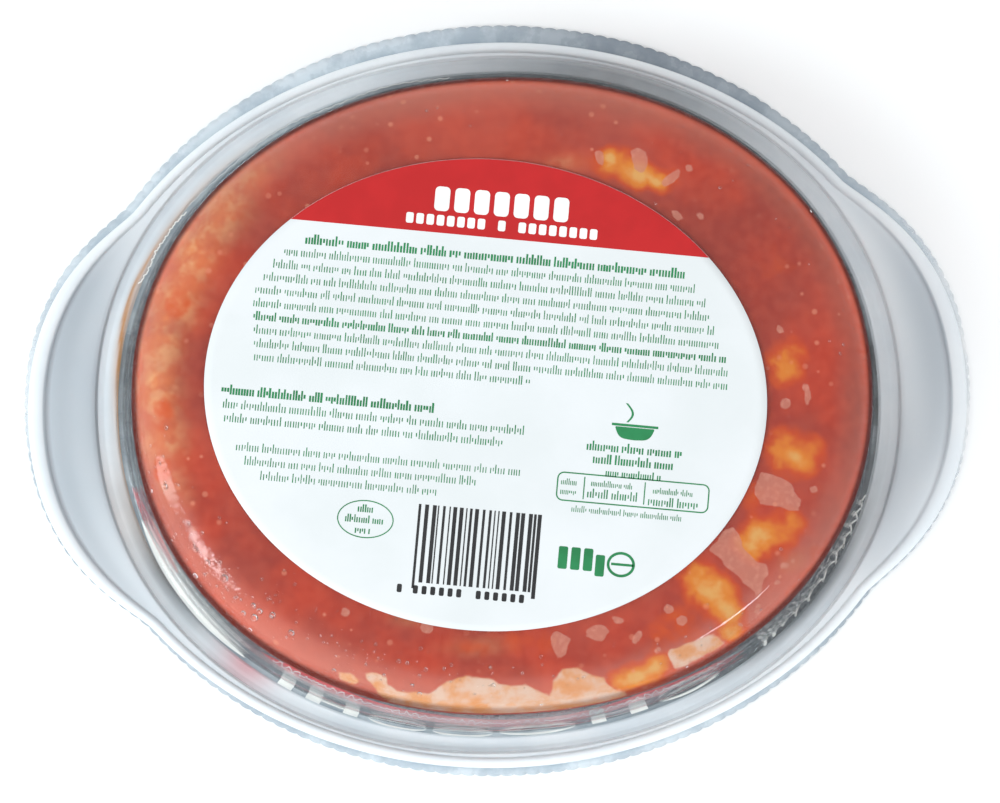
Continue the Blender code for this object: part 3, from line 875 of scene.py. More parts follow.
# %% One gnocco
def gnocco_grid(columns=40, rows=22):
    """Unit gnocco: an egg with blunt ends, radius (1 - |t|^2.6)^0.5, ridged on one side and dimpled on the other."""
    angle = bearings(columns)
    t = np.sin(np.linspace(-math.pi / 2, math.pi / 2, rows + 2)[1:-1])[:, None]
    radius = np.sqrt(np.clip(1.0 - np.abs(t) ** 2.6, 0.0, 1.0))
    ridged = smooth(0.5 - 0.9 * np.sin(angle))
    radius = radius * (1.0 + 0.05 * np.cos(13 * angle) * ridged)
    dimple = np.exp(-((t / 0.45) ** 2) - ((angle - math.pi / 2) / 0.55) ** 2)
    radius = radius * (1.0 - 0.26 * dimple)
    return np.stack([t + 0 * angle, radius * np.cos(angle), radius * np.sin(angle)], axis=-1)


def gnocchi_finish():
    """Potato dough coated in sauce: orange film, paler bald spots, fine grain."""
    material, nodes, links, shader = new_material("sauced_gnocchi")
    coat = place_group(
        nodes, cloud_group, Light=(*paint(226, 150, 84), 1), Dark=(*paint(186, 66, 36), 1), Scale=1 / (6 * MM),
        Low=0.42, High=0.68,
    )
    flecks = place_group(
        nodes, cloud_group, Light=(*paint(236, 190, 130), 1), Dark=(*paint(176, 58, 34), 1), Scale=1 / (1.4 * MM)
    )
    colour = mix_colour(nodes, links, 0.2, coat.outputs["Colour"], flecks.outputs["Colour"])
    links.new(colour, shader.inputs["Base Color"])
    links.new(ramp(nodes, links, flecks.outputs["Mask"], 0, 1, 0.26, 0.5), shader.inputs["Roughness"])
    grain = place_group(nodes, grain_group, Scale=1 / (0.8 * MM), Strength=0.35, Depth=0.2 * MM)
    links.new(grain.outputs["Normal"], shader.inputs["Normal"])
    set_values(shader, Subsurface_Weight=0.08, Subsurface_Scale=2 * MM, Subsurface_Radius=(1.0, 0.5, 0.25))
    return material


# %% Lay the gnocchi
gnocco = gnocco_grid()
rows, columns, _ = gnocco.shape
unit_points = np.concatenate([gnocco.reshape(-1, 3), [[-1.0, 0, 0], [1.0, 0, 0]]])
quads = grid_faces(rows, columns)[:, ::-1]
j, k = np.arange(columns), (np.arange(columns) + 1) % columns
start_fan = np.stack([np.full(columns, rows * columns), k, j], axis=-1)
end_fan = np.stack([np.full(columns, rows * columns + 1), (rows - 1) * columns + j, (rows - 1) * columns + k], axis=-1)
unit_faces = np.concatenate([quads[:, [0, 1, 2]], quads[:, [0, 2, 3]], start_fan, end_fan])
rng = np.random.default_rng(11)
count = len(PLACES)
sizes = GNOCCO_HALF * rng.uniform(0.93, 1.0, (count, 1)) * rng.uniform(0.95, 1.0, (count, 3))
roll = rng.uniform(-0.7, 0.7, count) + math.pi * (rng.random(count) < 0.5)
turns = np.stack([
    np.array(Matrix.Rotation(turn, 3, "Z") @ Matrix.Rotation(angle, 3, "X"))
    for turn, angle in zip(PLACES[:, 2], roll)
])
spots = np.stack([PLACES[:, 0], PLACES[:, 1], np.full(count, FOOD_TOP - GNOCCO_DEPTH)], axis=-1) + CENTRE
points, faces = scatter(unit_points, unit_faces, spots, sizes, turns)
lumps = ripple(points, 7 * MM, 21)[:, None]
points = points + 0.25 * MM * lumps * (points - np.repeat(spots, len(unit_points), axis=0)) / GNOCCO_HALF[1]
SAUCED_GNOCCHI = gnocchi_finish()
gnocchi = make_mesh("gnocchi", points, faces, [SAUCED_GNOCCHI])
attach(gnocchi, "root")
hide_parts("gnocchi_in_sauce")
print("gnocchi:", count, "triangles:", len(gnocchi.data.polygons), "lowest mm:", points[:, 2].min() / MM)

# %% [markdown]
# ## Droplets
#
# A chilled pack gathers beads of water, and tiny bubbles stand where sauce meets plastic. Each bead is a low cap of
# a few dozen faces on the rounded corner; they catch the lamps as bright points.

# %% Beads on the plastic
def cap_shape(columns=10):
    """A low dome and its flat foot: rings at 0, 35 and 65 degrees of a sphere cap, closed by two poles."""
    angle = bearings(columns)
    rings = [(1.0, 0.0), (0.86, 0.36), (0.5, 0.66)]
    points = [np.stack([r * np.cos(angle), r * np.sin(angle), np.full(columns, h)], axis=-1) for r, h in rings]
    points = np.concatenate([*points, [[0, 0, 0.76], [0, 0, -0.15]]])
    j, k = np.arange(columns), (np.arange(columns) + 1) % columns
    sides = [np.stack([i * columns + j, i * columns + k, (i + 1) * columns + k], -1) for i in range(2)]
    sides += [np.stack([i * columns + j, (i + 1) * columns + k, (i + 1) * columns + j], -1) for i in range(2)]
    top = np.stack([2 * columns + j, 2 * columns + k, np.full(columns, 3 * columns)], -1)
    foot = np.stack([k, j, np.full(columns, 3 * columns + 1)], -1)
    return points, np.concatenate([*sides, top, foot])


def water_finish():
    """Clear water."""
    material, nodes, links, shader = new_material("water")
    set_values(shader, Base_Color=(1, 1, 1, 1), Transmission_Weight=1.0, IOR=1.33)
    tiny = noise_node(nodes, links, 2 * MM, 1.0)
    links.new(ramp(nodes, links, tiny.outputs["Fac"], 0, 1, 0.0, 0.04), shader.inputs["Roughness"])
    let_lamps_through(material, (1, 1, 1))
    return material


# Each patch of beads: bearing in degrees, inset from the base's oval in mm, their spreads, how many, largest in mm.
BEAD_PATCHES = [
    (205, 3.4, 7, 1.2, 46, 0.55), (215, 4.0, 5, 1.5, 40, 0.75), (238, 6.0, 9, 2.5, 60, 0.4),
    (222, 11.0, 10, 5.0, 70, 0.3), (300, 5.0, 14, 3.0, 40, 0.3), (20, 6.0, 30, 4.0, 26, 0.28),
    (95, 9.0, 30, 5.0, 26, 0.25), (190, 5.0, 8, 2.0, 26, 0.35), (262, 6.0, 10, 2.5, 36, 0.35),
]
rng = np.random.default_rng(29)
bead_bearing, bead_inset, bead_size = [], [], []
for middle, inset, spread, inset_spread, number, largest in BEAD_PATCHES:
    bead_bearing.append(np.radians(rng.normal(middle, spread, number)))
    bead_inset.append(np.abs(rng.normal(inset, inset_spread, number)) * MM)
    bead_size.append((0.10 + largest * rng.random(number) ** 3) * MM)
bead_bearing, bead_inset, bead_size = map(np.concatenate, (bead_bearing, bead_inset, bead_size))
into_corner = np.clip(1.0 - bead_inset / BASE_ROUNDING, 0.0, 0.97)
tilt = np.arcsin(into_corner)
height = TOP - BASE_ROUNDING * (1.0 - np.cos(tilt))
flat_edge = bowl_oval_radius(BASE_OVAL, bead_bearing) - BASE_ROUNDING
radius = np.where(
    bead_inset < BASE_ROUNDING,
    wall_radius(height, bead_bearing) - BASE_ROUNDING * (1 - into_corner),
    flat_edge + BASE_ROUNDING - bead_inset,
)
bead_places = np.stack([radius * np.cos(bead_bearing), radius * np.sin(bead_bearing), height], axis=-1) + CENTRE
slope_bearing = np.arctan2(
    np.sin(bead_bearing) / BASE_OVAL[1] ** 2, np.cos(bead_bearing) / BASE_OVAL[0] ** 2
)
bead_turns = np.stack([
    np.array(Matrix.Rotation(around, 3, "Z") @ Matrix.Rotation(lean, 3, "Y"))
    for around, lean in zip(slope_bearing, tilt)
])
cap_points, cap_faces = cap_shape()
points, faces = scatter(cap_points, cap_faces, bead_places, bead_size[:, None] * np.ones(3), bead_turns)
WATER = water_finish()
beads = make_mesh("water_beads", points, faces, [WATER])
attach(beads, "root")
print("beads:", len(bead_size), "top mm:", points[:, 2].max() / MM)

# %% [markdown]
# ## The lidding film
#
# The film is a thin sheet sealed to the ledge and cut by pinking wheels, so its edge is a row of small lobes. It is
# printed inside with a red band and white marks; its dark frame round a clear window is painted shade, the shade
# under the food seen through the wall, and two fine white lines on the seal are painted glints. The sheet is one
# grid, slightly wavy, and the print is thin closed patches set into its upper face.

# %% Film sheet
FILM_THICKNESS = 0.22 * MM
OVERHANG_AT_EARS = 0.5 * MM
OVERHANG_AT_SIDES = 2.5 * MM
TOOTH_PITCH = 2.8 * MM
TOOTH_DEPTH = 0.8 * MM


def film_radius(bearing):
    """Radius of the film's cut: the rim's outline plus an overhang that is widest at the sides."""
    return rim_radius(bearing) + OVERHANG_AT_EARS + (OVERHANG_AT_SIDES - OVERHANG_AT_EARS) * np.sin(bearing) ** 2


def film_lift(x, y):
    """Height of the film's underside: low ripples inside, a slight curl along the cut edge."""
    share = np.hypot(x, y) / film_radius(np.arctan2(y, x))
    wave = ripple(np.stack([x, y], axis=-1), 22 * MM, 8)
    curl = 0.35 * MM * smooth((share - 0.965) / 0.035) * (1.0 + 0.8 * ripple(np.stack([x, y], -1), 30 * MM, 9))
    return 0.04 * MM + 0.02 * MM * (1 + wave) * (share < 0.8) + np.maximum(curl, 0.0)


film_bearings = bearings(2000)
outline = film_radius(film_bearings)
walked = np.cumsum(np.hypot(np.roll(outline, -1) - outline, outline * math.tau / 2000))
lobes = round(walked[-1] / TOOTH_PITCH)
lobe = np.abs(np.sin(math.pi * lobes * walked / walked[-1])) ** 0.6
cut = outline + TOOTH_DEPTH * (0.5 * lobe + 0.0)
share = np.array([0.25, 0.5, 0.72, 0.84, 0.92, 0.965, 0.985, 1.0])[:, None]
film_radii = np.concatenate([outline * share[:-1], cut[None]])
film_x, film_y = film_radii * np.cos(film_bearings), film_radii * np.sin(film_bearings)
under = film_lift(film_x, film_y)
upper_side = np.stack([film_x, film_y, under + FILM_THICKNESS], axis=-1)
under_side = np.stack([film_x, film_y, under], axis=-1)
film_grid = np.concatenate([upper_side, under_side[::-1]])


def film_finish():
    """Clear film gone bluish and cloudy in its overhang, with fine crinkles."""
    material, nodes, links, shader = new_material("lidding_film")
    haze = place_group(
        nodes, cloud_group, Light=(*paint(224, 234, 241), 1), Dark=(*paint(200, 214, 225), 1), Scale=1 / (9 * MM)
    )
    shade = field_node(nodes, "shade")
    links.new(
        mix_colour(nodes, links, shade, haze.outputs["Colour"], paint(112, 122, 134)), shader.inputs["Base Color"]
    )
    links.new(ramp(nodes, links, haze.outputs["Mask"], 0, 1, 0.12, 0.3), shader.inputs["Roughness"])
    # Painted shade greys the film and makes it more solid; a second field lets the white floor through, painted light.
    solid = maths(nodes, links, "MULTIPLY", shade, 0.2)
    alpha = maths(nodes, links, "ADD", ramp(nodes, links, haze.outputs["Mask"], 0, 1, 0.62, 0.78), solid)
    alpha = maths(nodes, links, "SUBTRACT", alpha, field_node(nodes, "clear"))
    links.new(alpha, shader.inputs["Alpha"])
    crinkle = place_group(nodes, grain_group, Scale=1 / (5 * MM), Strength=0.12, Depth=0.3 * MM)
    links.new(crinkle.outputs["Normal"], shader.inputs["Normal"])
    return material


FILM = film_finish()
film = closed_grid("lidding_sheet", film_grid, [FILM])
# Painted shade round the film by bearing, strongest on the far side; the ear ends are made clearer, painted light.
shade = 0.72 * bearing_bump(film_bearings, 62, 27) + 0.42 * bearing_bump(film_bearings, 214, 26)
clear = 0.50 * bearing_bump(film_bearings, 176, 15) + 0.62 * bearing_bump(film_bearings, 0, 25)
for name, values in (("shade", shade + 0.24 * bearing_bump(film_bearings, 320, 20)), ("clear", clear)):
    spread = np.broadcast_to(values, film_grid.shape[:2])
    add_field(film, name, np.concatenate([spread.ravel(), [0.0, 0.0]]))
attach(film, "root")
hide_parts("lidding_film")
print("film lobes:", lobes, "triangles:", len(film.data.polygons))

# %% [markdown]
# ### Print as thin ribbons
#
# Print could be a picture, but plain marks are lighter and stay sharp at any size. Every mark here is a ribbon: two
# edges walked side by side and given the thickness of ink. A bar has two stations, a ring closes on itself, and a
# filled oval is a ribbon between its lower and upper half.

# %% Ribbons
def ribbon(left, right, low, high, closed=False):
    """Points and faces of a flat ribbon between two edges, from height low to high; ends capped unless closed."""
    left, right = np.asarray(left, float), np.asarray(right, float)
    n = len(left)
    loops = [(left, high), (right, high), (right, low), (left, low)]
    points = np.concatenate([np.column_stack([edge, np.full(n, z)]) for edge, z in loops])
    i = np.arange(n if closed else n - 1)
    j = (i + 1) % n
    faces = []
    for a in range(4):
        b = (a + 1) % 4
        faces += [np.stack([a * n + i, b * n + i, b * n + j], -1), np.stack([a * n + i, b * n + j, a * n + j], -1)]
    if not closed:
        ends = [[0, 3 * n, 2 * n], [0, 2 * n, n], [n - 1, 2 * n - 1, 3 * n - 1], [n - 1, 3 * n - 1, 4 * n - 1]]
        faces.append(np.array(ends))
    faces = np.concatenate(faces)
    corner = points[faces[0]]
    upward = np.cross(corner[1] - corner[0], corner[2] - corner[0])[2]
    return points, faces if upward > 0 else faces[:, ::-1]


def join(parts):
    """Joins (points, faces) pairs into one pair."""
    offsets = np.cumsum([0] + [len(points) for points, _ in parts[:-1]])
    return (
        np.concatenate([points for points, _ in parts]),
        np.concatenate([faces + offset for (_, faces), offset in zip(parts, offsets)]),
    )


def ink_finish(name, colour, darker, size=6 * MM, alpha=1.0):
    """Printing ink: a colour with faint unevenness and paper-like grain."""
    material, nodes, links, shader = new_material(name)
    cloud = place_group(nodes, cloud_group, Light=(*colour, 1), Dark=(*darker, 1), Scale=1 / size)
    links.new(cloud.outputs["Colour"], shader.inputs["Base Color"])
    links.new(ramp(nodes, links, cloud.outputs["Mask"], 0, 1, 0.38, 0.5), shader.inputs["Roughness"])
    grain = place_group(nodes, grain_group, Scale=1 / (0.35 * MM), Strength=0.1, Depth=0.03 * MM)
    links.new(grain.outputs["Normal"], shader.inputs["Normal"])
    if alpha < 1.0:
        shader.inputs["Alpha"].default_value = alpha
    return material


# %% Print on the film
def along_mouth(first, last, offset, stations):
    """Points along the tray's mouth from one bearing to another (degrees), a given distance (mm) outside it."""
    bearing = np.radians(np.linspace(first, last, stations))
    radius = bowl_oval_radius(MOUTH_OVAL, bearing) + np.asarray(offset) * MM
    return np.stack([radius * np.cos(bearing), radius * np.sin(bearing)], axis=-1) + CENTRE[:2]


INK_LOW, INK_HIGH = 0.27 * MM, 0.34 * MM
WINDOW_OVAL = (57.0 * MM, 46.0 * MM)
frame_bearings = bearings(240)
mouth = bowl_oval_radius(MOUTH_OVAL, frame_bearings)
window = oval_radius(WINDOW_OVAL, frame_bearings)
from_mouth = np.array([-1.0, -0.6, -0.2, 0.0, 0.08, 0.2, 0.35, 0.5, 0.75, 1.0])[:, None]
frame_radii = np.where(from_mouth <= 0, mouth + from_mouth * (mouth - window), mouth + from_mouth * 5.6 * MM)


# Painted shade: the dark frame covers the film inside the mouth and reaches out under the ledge at two bearings.
outside = 0.05 + 0.85 * bearing_bump(frame_bearings, -35, 20) + 0.45 * bearing_bump(frame_bearings, 70, 30)
outside = np.clip(outside, 0, 1)
fade = 1.0 - smooth((from_mouth - 0.1) / 0.9)
frame_strength = np.where(from_mouth <= 0, 1.0 - 0.25 * bearing_bump(frame_bearings, 275, 45), outside * fade)
frame_upper = ring_points(frame_radii, np.full(frame_radii.shape, INK_HIGH), frame_bearings)
frame_lower = ring_points(frame_radii, np.full(frame_radii.shape, INK_LOW), frame_bearings)
frame_loops = np.concatenate([frame_upper, frame_lower[::-1]])
frame_points = frame_loops.reshape(-1, 3)
quads = grid_faces(len(frame_loops) + 1, 240) % len(frame_points)
frame_faces = np.concatenate([quads[:, [0, 1, 2]], quads[:, [0, 2, 3]]])
# The dark frame is painted shade, the shade under the food seen through the wall, made with the ink finish.
SHADE_FRAME_FINISH = ink_finish("painted_shade_frame", paint(104, 110, 114), paint(60, 66, 72), 0.7 * MM)
shade_frame_nodes = SHADE_FRAME_FINISH.node_tree
shade_frame_nodes.links.new(field_node(shade_frame_nodes.nodes, "shade_strength"), shade_frame_nodes.nodes["Principled BSDF"].inputs["Alpha"])
shade_frame = make_mesh("film_painted_shade_frame", frame_points, frame_faces, [SHADE_FRAME_FINISH], smooth_faces=False)
strength = np.concatenate([frame_strength.ravel(), frame_strength[::-1].ravel()])
add_field(shade_frame, "shade_strength", strength)

# The red band follows the mouth: its middle's offset (mm) at a few bearings, and its half width.
band_bearing = np.linspace(223.5, 312.0, 160)
band_middle = np.interp(
    band_bearing, [223, 230, 238, 246, 256, 266, 278, 293, 302, 312], [-2.3, -2.6, -2.6, -2.2, -2.0, -1.5, -1.3, -2.0, -1.5, -0.7]
)
taper = np.minimum(1.0, np.sin(math.pi * np.linspace(0.0, 1.0, 160)) * 5.0)
half_band = 0.78 * taper


def beside_mouth(bearing_degrees, offset):
    """Points at bearings (degrees), each its own distance (mm) outside the tray's mouth."""
    bearing = np.radians(bearing_degrees)
    radius = bowl_oval_radius(MOUTH_OVAL, bearing) + offset * MM
    return np.stack([radius * np.cos(bearing), radius * np.sin(bearing)], axis=-1) + CENTRE[:2]


def between(first, last, inner, outer, stations=40):
    """A ribbon along the mouth between two offsets, which may change along it."""
    return ribbon(
        along_mouth(first, last, inner, stations), along_mouth(first, last, outer, stations), INK_LOW, INK_HIGH + 0.03 * MM
    )


def pen_line(path, width, low, high):
    """A ribbon of even width along a flat path: each edge is the path moved half the width along its normal."""
    run = np.gradient(path, axis=0)
    normal = np.stack([-run[:, 1], run[:, 0]], axis=-1) / np.linalg.norm(run, axis=1, keepdims=True)
    return ribbon(path - normal * width / 2, path + normal * width / 2, low, high)


red_parts = [ribbon(
    beside_mouth(band_bearing, band_middle - half_band), beside_mouth(band_bearing, band_middle + half_band),
    INK_LOW, INK_HIGH + 0.03 * MM,
)]
bow = np.sin(np.linspace(0.02, math.pi - 0.02, 40)) ** 0.6
lean = np.linspace(0.4, -1.1, 40)
red_parts.append(between(190.5, 205.5, lean - 1.3 * bow, lean))
RED_INK = ink_finish("red_film_ink", paint(222, 52, 62), paint(204, 36, 48))
red_print = make_mesh("film_red_print", *join(red_parts), [RED_INK], smooth_faces=False)

glint_and_print_parts = [between(first, last, low, high, 8) for first, last, low, high in [
    (228.9, 231.4, -0.5, 1.4), (233.9, 236.4, -0.6, 1.5), (240.4, 242.9, -0.5, 1.3), (236.3, 240.5, 0.1, 0.55),
    (283.2, 285.7, -2.2, 0.8), (290.0, 293.0, -1.4, 0.8), (285.6, 290.1, -0.75, -0.3),
]]
opening = np.sin(np.linspace(0.0, math.pi, 60)) ** 0.45
for first, last, low, high, thick in [
    (244.6, 254.6, -0.7, 1.6, 0.55), (255.6, 266.0, -0.5, 1.6, 0.55), (267.0, 280.4, -0.8, 1.3, 0.5),
    (295.2, 306.4, -1.6, 1.1, 0.5),
]:
    middle = (low + high) / 2
    for side, reach in ((low, thick), (high, -thick)):
        glint_and_print_parts.append(between(first, last, middle + (side - middle) * opening,
                                   middle + (side + reach - middle) * opening, 60))
stroke = np.linspace(0.0, 1.0, 420)
swing = 2 * math.pi * (11.0 * stroke + 0.5 * np.sin(7.0 * stroke))
height = 0.85 + 0.35 * np.sin(23.0 * stroke + 1.0)
script = beside_mouth(
    314.5 + 28.5 * stroke + 0.55 * np.sin(2.0 * swing + 0.6),
    np.interp(stroke, [0.0, 0.4, 0.75, 1.0], [0.0, 0.3, 0.7, 1.3]) + height * np.sin(swing),
)
glint_and_print_parts.append(pen_line(script, 0.34 * MM, INK_LOW, INK_HIGH + 0.03 * MM))
along = np.linspace(0.0, 1.0, 700)
jitter = 0.42 * np.sin(310 * along) * (0.6 + 0.4 * np.sin(47 * along)) + 0.1 * np.sin(731 * along)
letters = beside_mouth(226.0 + 82.0 * along + 0.12 * np.sin(455 * along), np.interp(
    226.0 + 82.0 * along, band_bearing, band_middle) + jitter)
glint_and_print_parts.append(pen_line(letters, 0.17 * MM, INK_HIGH, INK_HIGH + 0.06 * MM))
# Painted glints: white lines on the seal along the mouth, where its rounding catches the light, in the white ink.
glint_bearing = np.linspace(146.0, 159.2, 90)
glint_offset = np.interp(glint_bearing, [146, 149, 151, 153.6, 155.7, 157.1, 159.2], [1.0, 1.5, 1.4, 1.7, 1.35, 1.3, 1.9])
glint_offset = glint_offset + 0.22 * np.sin(glint_bearing * 7.0) * np.sin(glint_bearing * 2.3)
seal_glint = pen_line(beside_mouth(glint_bearing, glint_offset), 0.26 * MM, LEDGE_RISE - 0.01 * MM, LEDGE_RISE + 0.05 * MM)
glint_and_print_parts.append(seal_glint)
# A second painted glint: a fine white line along the mouth on the far side.
glint_bearing = np.linspace(96.0, 145.0, 160)
glint_offset = 1.15 + 0.25 * np.sin(glint_bearing * 0.31) + 0.10 * np.sin(glint_bearing * 3.1)
glint_and_print_parts.append(
    pen_line(beside_mouth(glint_bearing, glint_offset), 0.10 * MM, LEDGE_RISE - 0.01 * MM, LEDGE_RISE + 0.04 * MM)
)
sickle = np.sin(np.linspace(0, math.pi, 50)) ** 0.7
glint_and_print_parts.append(between(195.5, 222.5, 0.7 - 1.7 * sickle, 0.7 + 0.8 * sickle, 50))
WHITE_INK_AND_GLINT = ink_finish("white_ink_and_glint", paint(244, 244, 240), paint(232, 233, 230))
white_print_and_glints = make_mesh("film_white_print", *join(glint_and_print_parts), [WHITE_INK_AND_GLINT], smooth_faces=False)
for piece in (shade_frame, red_print, white_print_and_glints):
    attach(piece, "root")
print("film print triangles:", [len(piece.data.polygons) for piece in (shade_frame, red_print, white_print_and_glints)])

# %% [markdown]
# ## The label
#
# An oval of coated white paper with a red cap is stuck a little askew on the base. Its words become rows of small
# strokes, which keep the grey of a line of type without spelling anything; the code, the stamp and the table become
# plain bars and frames. All are laid out in the label's own axes, u along its length and v across it.

# %% Label sheet
LABEL_OVAL = (58.0 * MM, 48.7 * MM)
LABEL_PLACE = np.array([-3.9, -0.7]) * MM
LABEL_TURN = math.radians(-7.9)
LABEL_LOW, LABEL_HIGH = TOP - 0.03 * MM, TOP + 0.14 * MM
INK = 0.03 * MM


def on_label(part):
    """Turns and moves points from the label's axes (mm) to their place on the tray."""
    points, faces = part
    c, s = math.cos(LABEL_TURN), math.sin(LABEL_TURN)
    u, v = points[:, 0] * MM, points[:, 1] * MM
    x = u * c - v * s + LABEL_PLACE[0] + CENTRE[0]
    y = u * s + v * c + LABEL_PLACE[1] + CENTRE[1]
    return np.stack([x, y, points[:, 2]], axis=-1), faces


def label_edge(v):
    """Half length of the label at a distance v from its long axis, in mm."""
    return LABEL_OVAL[0] / MM * np.sqrt(np.clip(1.0 - (v * MM / LABEL_OVAL[1]) ** 2, 0, 1))


def paper_finish():
    """Coated paper: off-white, barely cloudy, with a fine tooth."""
    material, nodes, links, shader = new_material("label_paper")
    cloud = place_group(
        nodes, cloud_group, Light=(*paint(223, 226, 228), 1), Dark=(*paint(217, 221, 222), 1), Scale=1 / (30 * MM)
    )
    links.new(cloud.outputs["Colour"], shader.inputs["Base Color"])
    links.new(ramp(nodes, links, cloud.outputs["Mask"], 0, 1, 0.42, 0.55), shader.inputs["Roughness"])
    grain = place_group(nodes, grain_group, Scale=1 / (0.5 * MM), Strength=0.12, Depth=0.04 * MM)
    links.new(grain.outputs["Normal"], shader.inputs["Normal"])
    return material


label_bearings = bearings(256)
share = np.array([0.3, 0.6, 0.85, 0.97, 1.0])[:, None]
edge_u = LABEL_OVAL[0] / MM * np.cos(label_bearings)
edge_v = LABEL_OVAL[1] / MM * np.sin(label_bearings)
faces_up = np.stack([share * edge_u, share * edge_v, np.full((5, 256), LABEL_HIGH)], axis=-1)
rounded = faces_up[-1] * [1.0, 1.0, 1.0] + [0, 0, -0.04 * MM]
rounded[:, :2] *= 1.0006
faces_down = faces_up[::-1].copy()
faces_down[..., 2] = LABEL_LOW
label_grid = np.concatenate([faces_up, rounded[None], faces_down])
flat_points, _ = on_label((label_grid.reshape(-1, 3), None))
PAPER = paper_finish()
label = closed_grid("label_sheet", flat_points.reshape(label_grid.shape), [PAPER])
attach(label, "root")
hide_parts("base_label")
print("label triangles:", len(label.data.polygons))

# %% Marks in the label's axes
def bar(u, v, width, height, low=LABEL_HIGH - 0.01 * MM, high=LABEL_HIGH + INK):
    """A plain bar, centred at (u, v)."""
    left = [(u - width / 2, v - height / 2), (u - width / 2, v + height / 2)]
    right = [(u + width / 2, v - height / 2), (u + width / 2, v + height / 2)]
    return ribbon(left, right, low, high)


def rounded_bar(u, v, width, height, corner, level=0):
    """A bar with rounded corners: a ribbon between its lower and upper edge."""
    share = np.linspace(0, math.pi / 2, 5)
    rise = corner * np.sin(share)
    run = corner * (1 - np.cos(share))
    across = np.concatenate([u - width / 2 + run, u + width / 2 - run[::-1]])
    half = np.concatenate([height / 2 - corner + rise, height / 2 - corner + rise[::-1]])
    base = LABEL_HIGH + level * INK
    return ribbon(np.stack([across, v - half], -1), np.stack([across, v + half], -1), base - 0.01 * MM, base + INK)


def oval_line(u, v, half_width, half_height, thickness, stations=48):
    """A ring of even thickness."""
    angle = bearings(stations)
    inner = np.stack([u + (half_width - thickness) * np.cos(angle), v + (half_height - thickness) * np.sin(angle)], -1)
    outer = np.stack([u + half_width * np.cos(angle), v + half_height * np.sin(angle)], -1)
    return ribbon(inner, outer, LABEL_HIGH - 0.01 * MM, LABEL_HIGH + INK, closed=True)


def frame_line(u, v, width, height, corner, thickness, stations=8):
    """A rounded rectangular frame: a closed ribbon between two rounded outlines."""
    def outline(inset):
        quarter = np.linspace(0, math.pi / 2, stations)
        radius = corner - inset
        parts = []
        for k, (sx, sy) in enumerate(((1, 1), (-1, 1), (-1, -1), (1, -1))):
            angle = quarter + k * math.pi / 2
            parts.append(np.stack([
                u + sx * (width / 2 - corner) + radius * np.cos(angle),
                v + sy * (height / 2 - corner) + radius * np.sin(angle),
            ], -1))
        return np.concatenate(parts)

    return ribbon(outline(thickness), outline(0.0), LABEL_HIGH - 0.01 * MM, LABEL_HIGH + INK, closed=True)


UNIT_BOX = ribbon([(-0.5, -0.5), (-0.5, 0.5)], [(0.5, -0.5), (0.5, 0.5)], 0.0, 1.0)


def strokes(rng, first, last, v, size, weight, level=0):
    """A line of strokes in place of words: upright ticks of uneven height in groups, with gaps between groups.

    size is the height of the tallest ticks, weight the width of a tick."""
    pitch = 0.29 * size
    marks = []
    u = first
    while u < last - pitch:
        for _ in range(int(rng.integers(4, 18))):
            if u > last - pitch:
                break
            tall = rng.choice([1.0, 0.66, 0.66, 0.66, 0.60, 0.40])
            foot = v - size * 0.5 + (0.24 * size if tall == 0.40 else 0.0)
            marks.append((u, foot + size * tall * 0.5, weight * rng.uniform(0.85, 1.1), size * tall))
            u += pitch * rng.uniform(0.9, 1.1)
        u += 0.9 * pitch
    marks = np.array(marks)
    count = len(marks)
    base = LABEL_HIGH + level * INK
    places = np.stack([marks[:, 0], marks[:, 1], np.full(count, base - 0.01 * MM)], axis=-1)
    sizes = np.stack([marks[:, 2], marks[:, 3], np.full(count, INK + 0.01 * MM)], axis=-1)
    return scatter(*UNIT_BOX, places, sizes)


# %% Red cap and white marks on it
CAP_EDGE = 32.3
cap_half = label_edge(CAP_EDGE)
cap_u = -cap_half * np.cos(np.linspace(0.02, math.pi - 0.02, 90))
cap_top = LABEL_OVAL[1] / MM * np.sqrt(1 - (cap_u * MM / LABEL_OVAL[0]) ** 2) - 0.02
cap = ribbon(np.stack([cap_u, np.full(90, CAP_EDGE)], -1), np.stack([cap_u, cap_top], -1),
             LABEL_HIGH - 0.01 * MM, LABEL_HIGH + INK)
RED_LABEL_INK = ink_finish("red_label_ink", paint(188, 3, 8), paint(182, 2, 7))
red_cap = make_mesh("label_red_cap", *on_label(cap), [RED_LABEL_INK], smooth_faces=False)

title = [rounded_bar(-0.3 + (i - 3) * 4.12, 39.4, 3.1, 5.1, 0.9, level=1) for i in range(7)]
small = [-19.0 + 2.12 * i for i in range(19) if i not in (8, 10)]
subtitle = [rounded_bar(u, 34.9, 1.55, 2.2, 0.4, level=1) for u in small]
white_marks = make_mesh("label_white_marks", *on_label(join(title + subtitle)), [WHITE_INK_AND_GLINT], smooth_faces=False)

